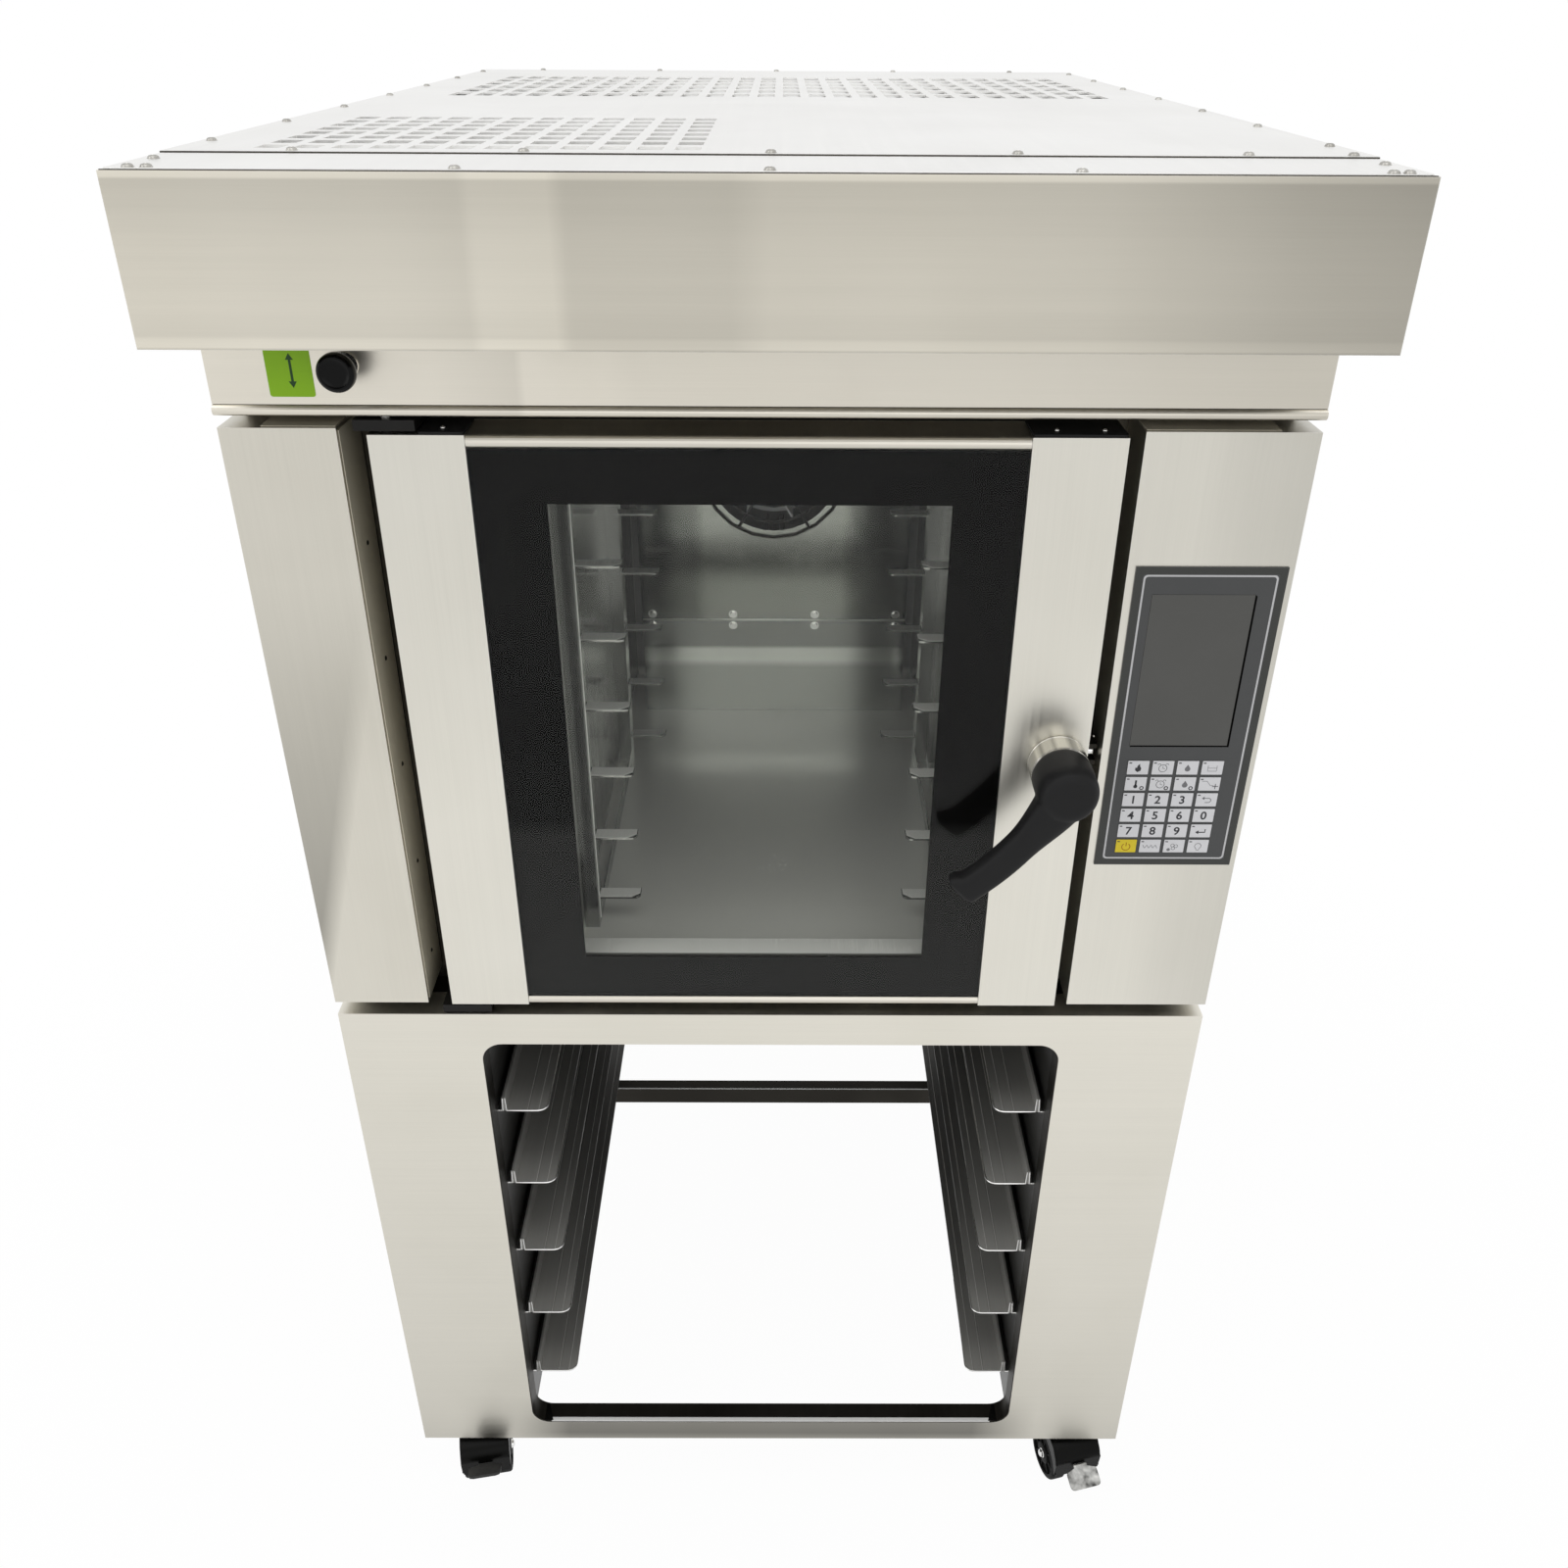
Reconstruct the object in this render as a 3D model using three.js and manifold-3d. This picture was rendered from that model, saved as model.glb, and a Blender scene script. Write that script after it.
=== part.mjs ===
import * as THREE from 'three';
import { mergeVertices } from 'three/addons/utils/BufferGeometryUtils.js';
import Module from 'manifold-3d';

// Hot-air tray oven with a steam canopy, on a tray stand with castors.
// Millimetres, +X to the right, +Y to the back, +Z up. The origin lies on the floor,
// under the middle of the whole object's box.

// ---------------------------------------------------------------- sheet metal and fits
const sheet = 1.5; // thickness of the folded steel sheet
const seat = 0.3; // gap between pieces that rest on each other
const running = 0.5; // clearance round pins, shafts and rods

// ---------------------------------------------------------------- overall sizes
const bodyWidth = 1000;
const bodyDepth = 1420;
const hoodDepth = 120;
const castorHeight = 103;
const standHeight = 788;
const plinthHeight = 17;
const columnHeight = 662;
const shadowGap = 11;
const ledgeHeight = 10;
const fasciaHeight = 74; // part of the fascia that shows under the hood
const hoodHeight = 130;
const lidHeight = 5;

const halfWidth = bodyWidth / 2;
const rearY = (bodyDepth + hoodDepth) / 2;
const frontY = rearY - bodyDepth;
const hoodFrontY = frontY - hoodDepth;
const standTop = castorHeight + standHeight;
const ovenBottom = standTop + plinthHeight;
const columnTop = ovenBottom + columnHeight;
const ledgeBottom = columnTop + shadowGap;
const ledgeTop = ledgeBottom + ledgeHeight;
const hoodBottom = ledgeTop + fasciaHeight;
const lidBottom = hoodBottom + hoodHeight;

// ---------------------------------------------------------------- stand
const standReturn = 40; // depth of the front panel's outer returns
const bayMargin = 160; // from the stand's outer side to the opening
const bayWidth = bodyWidth - 2 * bayMargin;
const bayBottomRail = 37;
const bayTopRail = 45;
const bayRadius = 25;
const bayReturn = 30;
const sideFlange = 120; // bottom flange of the side, which the castors are bolted to
const sideLip = 34;
const sideRearReturn = 40;
const topFold = 30;
const crossRailDepth = 22;
const crossRailHeight = 35;
const midRailSetback = 685;
const rackLength = 800;
const rackSetback = 33;
const rackReturn = 30;
const runnerLevels = 5;
const runnerPitch = 125;
const runnerLowest = 211; // height of the lowest runner above the floor
const runnerWidth = 62;
const runnerRibFrom = 7;
const runnerRibWidth = 5;
const runnerRibHeight = 22;
const runnerFoldAt = 38;
const runnerCorner = 14;

// ---------------------------------------------------------------- castors
const stemInset = 72;
const frontStemSetback = 65;
const rearStemInset = 70;
const stemRadius = 6;
const stemLength = 18;
const wheelRadius = 37.5;
const wheelWidth = 22; // of each of the two wheels
const wheelSides = 16;
const hubRadius = 15;
const wheelTrail = 36;
const axleRadius = 4;
const forkWebWidth = 22; // between the two wheels
const forkHeadRadius = 26;
const forkHeadHeight = 8;
const hoodOverWheel = 4; // play between the tread and the fork's hood
const cheekPlay = 1.2; // play between a wheel's side and the fork's web
const pedalWidth = 46;
const pedalNeckWidth = 20;
const pedalNeckLength = 12;
const pedalCorner = 7;
const pedalLength = 30;
const pedalThickness = 3;
const pedalKnuckle = 4;
const pedalAboveAxle = 28;
const pedalSwing = 26; // degrees above level when released, and below it when pressed

// ---------------------------------------------------------------- oven shell
const frontZone = 70; // depth of the columns, the fascia and the ledge
const leftColumnWidth = 107;
const controlColumnWidth = 160;
const sideFold = 25;
const rearFold = 25;
const ledgeNose = 4;
const plinthInset = 15;
const hoodLip = 18;
const ventWidth = 22;
const ventDepth = 28;
const ventPitchX = 32;
const ventPitchY = 44;
const frontVentColumns = 12;
const frontVentRows = 8;
const frontVentLeft = 67; // from the lid's left edge to the first hole
const frontVentSetback = 28;
const slotRows = 8;
const slotPitch = 22;
const slotWidth = 180;
const slotHeight = 8;

// ---------------------------------------------------------------- chamber
const chamberWidth = 450;
const chamberHeight = 590;
const chamberFloor = 27; // above the plinth's top
const chamberDepth = 748;
const chamberFlange = 22;
const woolSide = 49;
const woolTop = 50;
const woolBack = 50;
const baffleWidth = 400;
const baffleToBack = 130;
const baffleFold = 30;
const lowerBaffleHeight = 154;
const fanHeight = 390; // fan axis above the chamber floor
const fanHoleRadius = 95;
const guardWire = 2.2;
const guardRadius = 105;
const guardRings = 4;
const guardHubRadius = 12;
const guardSpokes = 6;
const fanRadius = 88;
const fanBlades = 8;
const fanWidth = 46;
const fanHubRadius = 18;
const bladeSweep = 26; // how far a blade's tip trails its root
const fanShaftRadius = 6;
const fanShaftLength = 150;
const fanBehindBaffle = 22;
const heaterRadius = 118;
const heaterTube = 5;
const heaterBehindBaffle = 48;
const motorRadius = 65;
const motorLength = 170;
const motorNoseRadius = 30;
const motorChamfer = 12;
const shaftSocket = 90; // depth of the motor's bore
const rackPostDepth = 32;
const rackPostStandoff = 18; // from the chamber's wall to the post's face
const frontPostSetback = 40; // from the chamber's mouth
const rearPostSetback = 449;
const rackTie = 20;
const lugLevels = 6;
const lugPitch = 83.8;
const lugLowest = 40; // above the chamber floor
const lugLength = 50;
const lugDepth = 20;
const lugThickness = 2;
const lugCorner = 8;
const gasketWidth = 19;
const gasketInset = 3;

// ---------------------------------------------------------------- door
const doorHeight = 658;
const doorDepth = 57;
const doorLeftGap = 27;
const doorRightGap = 14;
const doorWidth = bodyWidth - leftColumnWidth - doorLeftGap - controlColumnWidth - doorRightGap;
const doorDrop = 2; // how far the door's foot reaches below the columns
const hingeFromEdge = 16;
const hingeFromFront = 15;
const stileWidth = 88;
const topCapHeight = 13;
const bottomCapHeight = 11;
const capNose = 12;
const glassThickness = 5;
const glassSetback = 1.5;
const windowLeft = 157; // from the door's left edge
const windowRight = 156; // from the door's free edge
const windowBottom = 64;
const windowTop = 592;
const linerMargin = 10; // how much larger the door liner's opening is than the window
const innerGlassMargin = 10;
const innerGlassFront = 22; // from the door's front to the inner pane
const hingePinRadius = 6;
const hingePinLength = 22;
const hingeArmWidth = 56;
const hingeArmHeight = 10;
const hingeLegHeight = 60;
const hingeLegDepth = 6;
const hingePlay = 3;

// ---------------------------------------------------------------- handle and latch
const handleFromEdge = 31; // from the door's free edge to the handle's axis
const handleHeight = 322; // above the door's foot
const escutcheonRadius = 30.5;
const escutcheonLength = 27;
const spindleRadius = 6.5;
const spindleReach = 17; // behind the door's front
const bossRadius = 31;
const bossLength = 53;
const bossRound = 13; // length of the boss's rounded front
const leverLength = 157;
const leverAngle = 131; // from +X, clockwise seen from the front
const leverRootWidth = 48;
const leverWidth = 31;
const leverThickness = 23;
const leverRise = 8; // how far the grip lies behind the boss's front
const leverBow = 12;
const leverTaper = 0.5; // share of the length in which the root narrows to the grip
const leverFlare = 6; // how far the tip's lip stands out
const leverTipCut = 3; // how far the end face is cut back at the lip
const leverRingPoints = 16;
const boltRadius = 5;
const boltLength = 46;
const boltReach = 10;
const boltBehindFront = 25;
const keeperDepth = 54;
const keeperPlay = 2;
const keeperProng = 5;

// ---------------------------------------------------------------- controls
const membraneInset = 8; // from the column's left edge
const membraneWidth = 146;
const membraneHeight = 339;
const membraneBottom = 194; // above the column's foot
const membraneThickness = 1.5;
const screenWidth = 100;
const screenHeight = 165;
const screenLeft = 19;
const screenBottom = 146;
const keyColumns = 4;
const keyRows = 6;
const keyWidth = 22.3;
const keyHeight = 16.4;
const keyPitchX = 25.6;
const keyPitchZ = 19.2;
const keyLeft = 20;
const keyBottom = 16;
const keyRise = 0.6;
const damperInset = 125; // from the oven's left side
const damperHeight = 35; // above the fascia's lower edge
const damperRodRadius = 4;
const damperRodLength = 120;
const damperPlateWidth = 60;
const damperPlateHeight = 50;
const damperPlateThickness = 2;
const knobRadius = 17;
const knobLength = 22;
const knobStandoff = 13;

// ---------------------------------------------------------------- finishes
const finishes = {
  brushedSteel: { color: 0xd2cec4, roughness: 0.34, metalness: 0.9 },
  lidSteel: { color: 0xdcdbd6, roughness: 0.4, metalness: 0.85 },
  darkSteel: { color: 0x4a4640, roughness: 0.5, metalness: 0.8 },
  polishedSteel: { color: 0xb9bab6, roughness: 0.18, metalness: 1.0 },
  chrome: { color: 0xd8d8d8, roughness: 0.12, metalness: 1.0 },
  zinc: { color: 0xb4b5b2, roughness: 0.4, metalness: 0.9 },
  blackPaint: { color: 0x1b1b1a, roughness: 0.5, metalness: 0.3 },
  blackPlastic: { color: 0x161616, roughness: 0.55, metalness: 0.0 },
  blackEnamel: { color: 0x121212, roughness: 0.15, metalness: 0.0 },
  tyre: { color: 0x202020, roughness: 0.7, metalness: 0.0 },
  rubber: { color: 0x2a2a28, roughness: 0.85, metalness: 0.0 },
  wool: { color: 0xcfc8a8, roughness: 1.0, metalness: 0.0 },
  membrane: { color: 0x5e6163, roughness: 0.45, metalness: 0.0 },
  screen: { color: 0x4c4f55, roughness: 0.1, metalness: 0.0 },
  clearGlass: { color: 0xcfd8d4, roughness: 0.03, metalness: 0.0, transparent: true, opacity: 0.25 },
};

// ---------------------------------------------------------------- solids and booleans
const wasm = await Module();
wasm.setup();

function toSolid(geometry) {
  const bare = geometry.clone();
  bare.deleteAttribute('normal');
  bare.deleteAttribute('uv');
  const merged = mergeVertices(bare, 1e-4);
  return new wasm.Manifold(new wasm.Mesh({
    numProp: 3,
    vertProperties: new Float32Array(merged.attributes.position.array),
    triVerts: new Uint32Array(merged.index.array),
  }));
}

function toGeometry(solid) {
  const mesh = solid.getMesh();
  const geometry = new THREE.BufferGeometry();
  geometry.setAttribute('position', new THREE.BufferAttribute(new Float32Array(mesh.vertProperties), 3));
  geometry.setIndex(new THREE.BufferAttribute(new Uint32Array(mesh.triVerts), 1));
  return geometry;
}

// Joins the shapes in `added` and cuts the shapes in `removed` out of them.
function combine(added, removed = []) {
  let solid = toSolid(added[0]);
  for (const shape of added.slice(1)) {
    solid = solid.add(toSolid(shape));
  }
  for (const shape of removed) {
    solid = solid.subtract(toSolid(shape));
  }
  return toGeometry(solid);
}

// A block between two corners.
function block(x0, x1, y0, y1, z0, z1) {
  const geometry = new THREE.BoxGeometry(x1 - x0, y1 - y0, z1 - z0);
  return geometry.translate((x0 + x1) / 2, (y0 + y1) / 2, (z0 + z1) / 2);
}

// A profile drawn in (x, z), drawn out along Y.
function prismY(shape, y0, y1, curveSegments = 6) {
  const geometry = new THREE.ExtrudeGeometry(shape, { depth: y1 - y0, bevelEnabled: false, curveSegments });
  return geometry.rotateX(Math.PI / 2).translate(0, y1, 0);
}

// A profile drawn in (y, z), drawn out along X.
function prismX(shape, x0, x1, curveSegments = 6) {
  const geometry = new THREE.ExtrudeGeometry(shape, { depth: x1 - x0, bevelEnabled: false, curveSegments });
  const turn = new THREE.Matrix4().makeBasis(
    new THREE.Vector3(0, 1, 0), new THREE.Vector3(0, 0, 1), new THREE.Vector3(1, 0, 0));
  return geometry.applyMatrix4(turn).translate(x0, 0, 0);
}

// A profile drawn in (x, y), drawn out along Z.
function prismZ(shape, z0, z1, curveSegments = 6) {
  const geometry = new THREE.ExtrudeGeometry(shape, { depth: z1 - z0, bevelEnabled: false, curveSegments });
  return geometry.translate(0, 0, z0);
}

function outline(points) {
  return new THREE.Shape(points.map(([x, y]) => new THREE.Vector2(x, y)));
}

function roundedRect(x0, y0, x1, y1, radius) {
  const shape = new THREE.Shape();
  shape.moveTo(x0 + radius, y0);
  shape.lineTo(x1 - radius, y0);
  shape.absarc(x1 - radius, y0 + radius, radius, -Math.PI / 2, 0);
  shape.lineTo(x1, y1 - radius);
  shape.absarc(x1 - radius, y1 - radius, radius, 0, Math.PI / 2);
  shape.lineTo(x0 + radius, y1);
  shape.absarc(x0 + radius, y1 - radius, radius, Math.PI / 2, Math.PI);
  shape.lineTo(x0, y0 + radius);
  shape.absarc(x0 + radius, y0 + radius, radius, Math.PI, Math.PI * 1.5);
  return shape;
}

// A round bar along one axis, from `from` to `to` on that axis.
function bar(axis, radius, from, to, sides = 24) {
  const geometry = new THREE.CylinderGeometry(radius, radius, to - from, sides);
  geometry.translate(0, (from + to) / 2, 0);
  if (axis === 'x') geometry.rotateZ(-Math.PI / 2);
  if (axis === 'z') geometry.rotateX(Math.PI / 2);
  return geometry;
}

// A turned shape about the Y axis, from points [radius, y].
function turned(points, sides = 32) {
  return new THREE.LatheGeometry(points.map(([r, y]) => new THREE.Vector2(r, y)), sides);
}

// A skin over a row of rings with equally many points, closed at both ends.
function loft(rings) {
  const count = rings[0].length;
  const last = (rings.length - 1) * count;
  const index = [];
  for (let start = 0; start < last; start += count) {
    for (let i = 0; i < count; i += 1) {
      const next = (i + 1) % count;
      index.push(start + i, start + next, start + count + next);
      index.push(start + i, start + count + next, start + count + i);
    }
  }
  for (let i = 1; i + 1 < count; i += 1) {
    index.push(0, i + 1, i, last, last + i, last + i + 1);
  }
  const geometry = new THREE.BufferGeometry();
  geometry.setAttribute('position', new THREE.Float32BufferAttribute(rings.flat().flatMap((p) => p.toArray()), 3));
  return geometry.setIndex(index);
}

// A ring of round wire about the Y axis.
function wireRing(radius, wire, sides, wireSides) {
  const section = [];
  for (let i = 0; i <= wireSides; i += 1) {
    const angle = (i / wireSides) * Math.PI * 2;
    section.push([radius + wire * Math.cos(angle), wire * Math.sin(angle)]);
  }
  section[wireSides] = section[0];
  return turned(section, sides);
}

// A tray-like folded cover, `wall` thick, open to the back.
function openBackPan(width, depth, height, wall = sheet) {
  return combine(
    [block(-width / 2, width / 2, 0, depth, 0, height)],
    [block(-width / 2 + wall, width / 2 - wall, wall, depth + 1, wall, height - wall)],
  );
}

function piece(parent, name, geometry, finish, x = 0, y = 0, z = 0) {
  const mesh = new THREE.Mesh(geometry, new THREE.MeshStandardMaterial(finishes[finish]));
  mesh.name = name;
  mesh.position.set(x, y, z);
  parent.add(mesh);
  return mesh;
}

function groupAt(parent, x, y, z) {
  const group = new THREE.Group();
  group.position.set(x, y, z);
  parent.add(group);
  return group;
}

const oven = new THREE.Group();

// ================================================================ stand
const panelBackY = frontY + standReturn;
const sideStartY = panelBackY + seat;
const bayTop = standHeight - bayTopRail;

function standFrontPanel() {
  const half = bayWidth / 2;
  const rim = roundedRect(-half - sheet, bayBottomRail - sheet, half + sheet, bayTop + sheet, bayRadius + sheet);
  const bay = roundedRect(-half, bayBottomRail, half, bayTop, bayRadius);
  return combine(
    [openBackPan(bodyWidth, standReturn, standHeight), prismY(rim, sheet / 2, bayReturn)],
    [prismY(bay, -1, bayReturn + 1)],
  );
}

// Side of the stand: web, bottom channel for the castors and a rear return. `inward` is +1 or -1.
function standSide(inward) {
  const length = rearY - sideStartY;
  const profile = outline([
    [0, 0], [inward * sideFlange, 0], [inward * sideFlange, sideLip],
    [inward * (sideFlange - sheet), sideLip], [inward * (sideFlange - sheet), sheet],
    [inward * sheet, sheet], [inward * sheet, standHeight], [0, standHeight],
  ]);
  const nearX = Math.min(0, inward * sideRearReturn);
  const rearReturn = block(nearX, nearX + sideRearReturn, length - sheet, length, 0, standHeight);
  const holes = [frontY + frontStemSetback, rearY - rearStemInset].map((y) =>
    bar('z', stemRadius + running, -1, sheet + 1).translate(inward * stemInset, y - sideStartY, 0));
  return combine([prismY(profile, 0, length), rearReturn], holes);
}

function standTopFrame(length) {
  const half = halfWidth - sheet - seat;
  return combine(
    [block(-half, half, 0, length, -topFold, 0)],
    [block(-half + sheet, half - sheet, -1, length - sheet, -topFold - 1, -sheet)],
  );
}

// Folded angle with its web to the front and its flange on top.
function crossRail() {
  const half = halfWidth - sideFlange - seat;
  const profile = outline([
    [0, 0], [sheet, 0], [sheet, crossRailHeight - sheet], [crossRailDepth, crossRailHeight - sheet],
    [crossRailDepth, crossRailHeight], [0, crossRailHeight],
  ]);
  return prismX(profile, -half, half);
}

// One tray runner: wall flange, pinched guide rib, shelf with a crease and a rounded front corner.
function trayRunner(inward) {
  const ribEnd = runnerRibFrom + runnerRibWidth;
  const profile = outline([
    [0, 0], [runnerFoldAt - 2, 0], [runnerFoldAt, -0.8], [runnerFoldAt + 2, 0], [runnerWidth, 0],
    [runnerWidth, sheet], [runnerFoldAt + 2, sheet], [runnerFoldAt, sheet - 0.8],
    [runnerFoldAt - 2, sheet], [ribEnd, sheet], [ribEnd - 1, runnerRibHeight],
    [runnerRibFrom + 1, runnerRibHeight], [runnerRibFrom, sheet], [0, sheet],
  ].map(([x, z]) => [inward * x, z]));
  const plan = new THREE.Shape();
  plan.moveTo(-1 * inward, 0);
  plan.lineTo(inward * (runnerWidth - runnerCorner), 0);
  plan.quadraticCurveTo(inward * runnerWidth, 0, inward * runnerWidth, runnerCorner);
  plan.lineTo(inward * runnerWidth, rackLength);
  plan.lineTo(-1 * inward, rackLength);
  const trimmed = toSolid(prismY(profile, 0, rackLength)).intersect(toSolid(prismZ(plan, -runnerRibHeight, 2 * runnerRibHeight)));
  return toGeometry(trimmed);
}

function standRack(inward, bottom, top) {
  const liner = outline([
    [0, 0], [-inward * rackReturn, 0], [-inward * rackReturn, sheet], [-inward * sheet, sheet],
    [-inward * sheet, rackLength - sheet], [-inward * rackReturn, rackLength - sheet],
    [-inward * rackReturn, rackLength], [0, rackLength],
  ]);
  const parts = [prismZ(liner, bottom, top)];
  for (let level = 0; level < runnerLevels; level += 1) {
    const shelf = runnerLowest + level * runnerPitch - sheet;
    parts.push(trayRunner(inward).translate(-inward * sheet / 2, 0, shelf));
  }
  return combine(parts);
}

const stand = groupAt(oven, 0, 0, 0);
const railTop = castorHeight + 2 * sheet + crossRailHeight;
const topFrameLength = rearY - sheet - seat - sideStartY;
piece(stand, 'stand_front_panel', standFrontPanel(), 'brushedSteel', 0, frontY, castorHeight);
piece(stand, 'stand_top_frame', standTopFrame(topFrameLength), 'darkSteel', 0, sideStartY, standTop);
for (const [side, label] of [[-1, 'left'], [1, 'right']]) {
  piece(stand, `stand_${label}_side`, standSide(-side), 'brushedSteel', side * halfWidth, sideStartY, castorHeight);
  piece(stand, `stand_${label}_rack`, standRack(-side, railTop + seat, standTop - sheet - seat), 'darkSteel',
    side * bayWidth / 2, frontY + rackSetback, 0);
}
piece(stand, 'stand_mid_rail', crossRail(), 'darkSteel', 0, frontY + midRailSetback, railTop - crossRailHeight);
piece(stand, 'stand_rear_rail', crossRail(), 'darkSteel', 0,
  rearY - sheet - seat - crossRailDepth, railTop - crossRailHeight);

// ================================================================ castors
// Twin-wheel castors. Each is drawn with its wheels trailing along +Y and is then turned about its stem.
const forkTop = castorHeight - seat;
const axleHeight = wheelRadius;
const wheelInner = forkWebWidth / 2 + cheekPlay;
const wheelOuter = wheelInner + wheelWidth;
const hoodHalf = wheelOuter + 0.8;
const hoodRadius = wheelRadius + hoodOverWheel + 6;
const hoodBack = wheelTrail + hoodRadius - 3;
const pedalHingeY = hoodBack + seat + pedalKnuckle;
const pedalHingeHeight = axleHeight + pedalAboveAxle;

// Housing of a castor: a web between the wheels, a hood over both, the head and the stem.
function castorFork() {
  const headBottom = forkTop - forkHeadHeight;
  const web = forkWebWidth / 2;
  const profile = new THREE.Shape();
  profile.moveTo(-forkHeadRadius + 2, headBottom + 1);
  profile.lineTo(-forkHeadRadius + 2, headBottom - 10);
  profile.lineTo(wheelTrail - 14, axleHeight - 6);
  profile.absarc(wheelTrail, axleHeight, 14, Math.PI * 1.15, Math.PI * 1.95);
  profile.lineTo(hoodBack, axleHeight + 8);
  profile.lineTo(hoodBack, pedalHingeHeight + pedalKnuckle);
  profile.quadraticCurveTo(hoodBack - 6, headBottom, wheelTrail - 2, headBottom + 1);
  const wells = [[-hoodHalf - 1, -web], [web, hoodHalf + 1]].flatMap(([from, to]) => [
    bar('x', wheelRadius + hoodOverWheel, from, to, 24).translate(0, wheelTrail, axleHeight),
    block(from, to, wheelTrail - hoodRadius, wheelTrail + hoodRadius, 0, axleHeight + 8),
  ]);
  return combine(
    [
      prismX(profile, -hoodHalf, hoodHalf, 6),
      bar('z', forkHeadRadius, headBottom, forkTop, 20),
      bar('z', stemRadius, headBottom, forkTop + stemLength, 12),
    ],
    [...wells, bar('x', axleRadius + running, -web - 1, web + 1, 16).translate(0, wheelTrail, axleHeight)],
  );
}

// Two wheels on their axle, about the X axis, each standing on one of its flats.
function castorWheels() {
  const rim = wheelRadius / Math.cos(Math.PI / wheelSides);
  const wheel = turned([
    [0, wheelInner], [rim - 3, wheelInner], [rim, wheelInner + 3], [rim, wheelOuter - 3], [rim - 3, wheelOuter],
    [rim - 9, wheelOuter], [rim - 10, wheelOuter - 2], [hubRadius + 1, wheelOuter - 2], [hubRadius, wheelOuter],
    [0, wheelOuter],
  ], wheelSides).rotateY(Math.PI / wheelSides);
  const axle = bar('y', axleRadius, -wheelInner - 1, wheelInner + 1, 12);
  return combine([wheel, wheel.clone().rotateZ(Math.PI), axle]).rotateZ(-Math.PI / 2);
}

// Brake pedal: a knuckle on the hinge, a short neck and a broad tread plate.
function castorPedal() {
  const half = pedalWidth / 2;
  const neck = pedalNeckWidth / 2;
  const plan = new THREE.Shape();
  plan.moveTo(-neck, 0);
  plan.lineTo(-neck, pedalNeckLength);
  plan.lineTo(-half, pedalNeckLength + 2);
  plan.lineTo(-half, pedalLength - pedalCorner);
  plan.quadraticCurveTo(-half, pedalLength, -half + pedalCorner, pedalLength);
  plan.lineTo(half - pedalCorner, pedalLength);
  plan.quadraticCurveTo(half, pedalLength, half, pedalLength - pedalCorner);
  plan.lineTo(half, pedalNeckLength + 2);
  plan.lineTo(neck, pedalNeckLength);
  plan.lineTo(neck, 0);
  const plate = prismZ(plan, pedalKnuckle - pedalThickness, pedalKnuckle, 4);
  const knuckle = bar('x', pedalKnuckle, -neck, neck, 12);
  return combine([plate, knuckle]);
}

const castors = [
  { label: 'fl', side: -1, y: frontY + frontStemSetback, turn: 190, brake: 'released' },
  { label: 'fr', side: 1, y: frontY + frontStemSetback, turn: 194, brake: 'pressed' },
  { label: 'rl', side: -1, y: rearY - rearStemInset, turn: 175 },
  { label: 'rr', side: 1, y: rearY - rearStemInset, turn: 188 },
];
for (const castor of castors) {
  const swivel = groupAt(oven, castor.side * (halfWidth - stemInset), castor.y, 0);
  swivel.rotation.z = THREE.MathUtils.degToRad(castor.turn);
  piece(swivel, `castor_fork_${castor.label}`, castorFork(), 'blackPlastic');
  piece(swivel, `castor_wheel_${castor.label}`, castorWheels(), 'tyre', 0, wheelTrail, axleHeight);
  if (castor.brake) {
    const pedal = piece(swivel, `castor_brake_${castor.label}`, castorPedal(), 'zinc', 0, pedalHingeY, pedalHingeHeight);
    pedal.rotation.x = THREE.MathUtils.degToRad(castor.brake === 'pressed' ? -pedalSwing : pedalSwing);
  }
}

// ================================================================ oven shell
const shell = groupAt(oven, 0, 0, 0);
const frameY = frontY + frontZone; // front face of the front frame
const shellBottom = ovenBottom + seat;
const shellTop = lidBottom - seat;
const zoneDepth = frontZone - seat;
const sidePanelY = frameY + sheet + seat;

function ovenBase() {
  const half = halfWidth - plinthInset;
  const depth = rearY - plinthInset - (frameY + seat);
  const height = plinthHeight - seat;
  return combine(
    [block(-half, half, 0, depth, 0, height)],
    [block(-half + sheet, half - sheet, sheet, depth - sheet, -1, height - sheet)],
  );
}

function sidePanel(inward) {
  const height = shellTop - shellBottom;
  const profile = outline([
    [0, 0], [inward * sideFold, 0], [inward * sideFold, sheet], [inward * sheet, sheet],
    [inward * sheet, height - sheet], [inward * sideFold, height - sheet], [inward * sideFold, height], [0, height],
  ]);
  return prismY(profile, 0, rearY - sidePanelY);
}

// Back of the oven: a pan open to the front, with cooling slots behind the motor.
function rearPanel() {
  const half = halfWidth - sheet - seat;
  const height = shellTop - shellBottom - 2 * (sheet + seat);
  const middle = chamberFloor + fanHeight - 2 * seat - sheet;
  const slots = [];
  for (let row = 0; row < slotRows; row += 1) {
    const z = middle + (row - (slotRows - 1) / 2) * slotPitch;
    slots.push(block(-slotWidth / 2, slotWidth / 2, -rearFold, 1, z - slotHeight / 2, z + slotHeight / 2));
  }
  return combine(
    [block(-half, half, -rearFold, 0, 0, height)],
    [block(-half + sheet, half - sheet, -rearFold - 1, -sheet, sheet, height - sheet), ...slots],
  );
}

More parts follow.
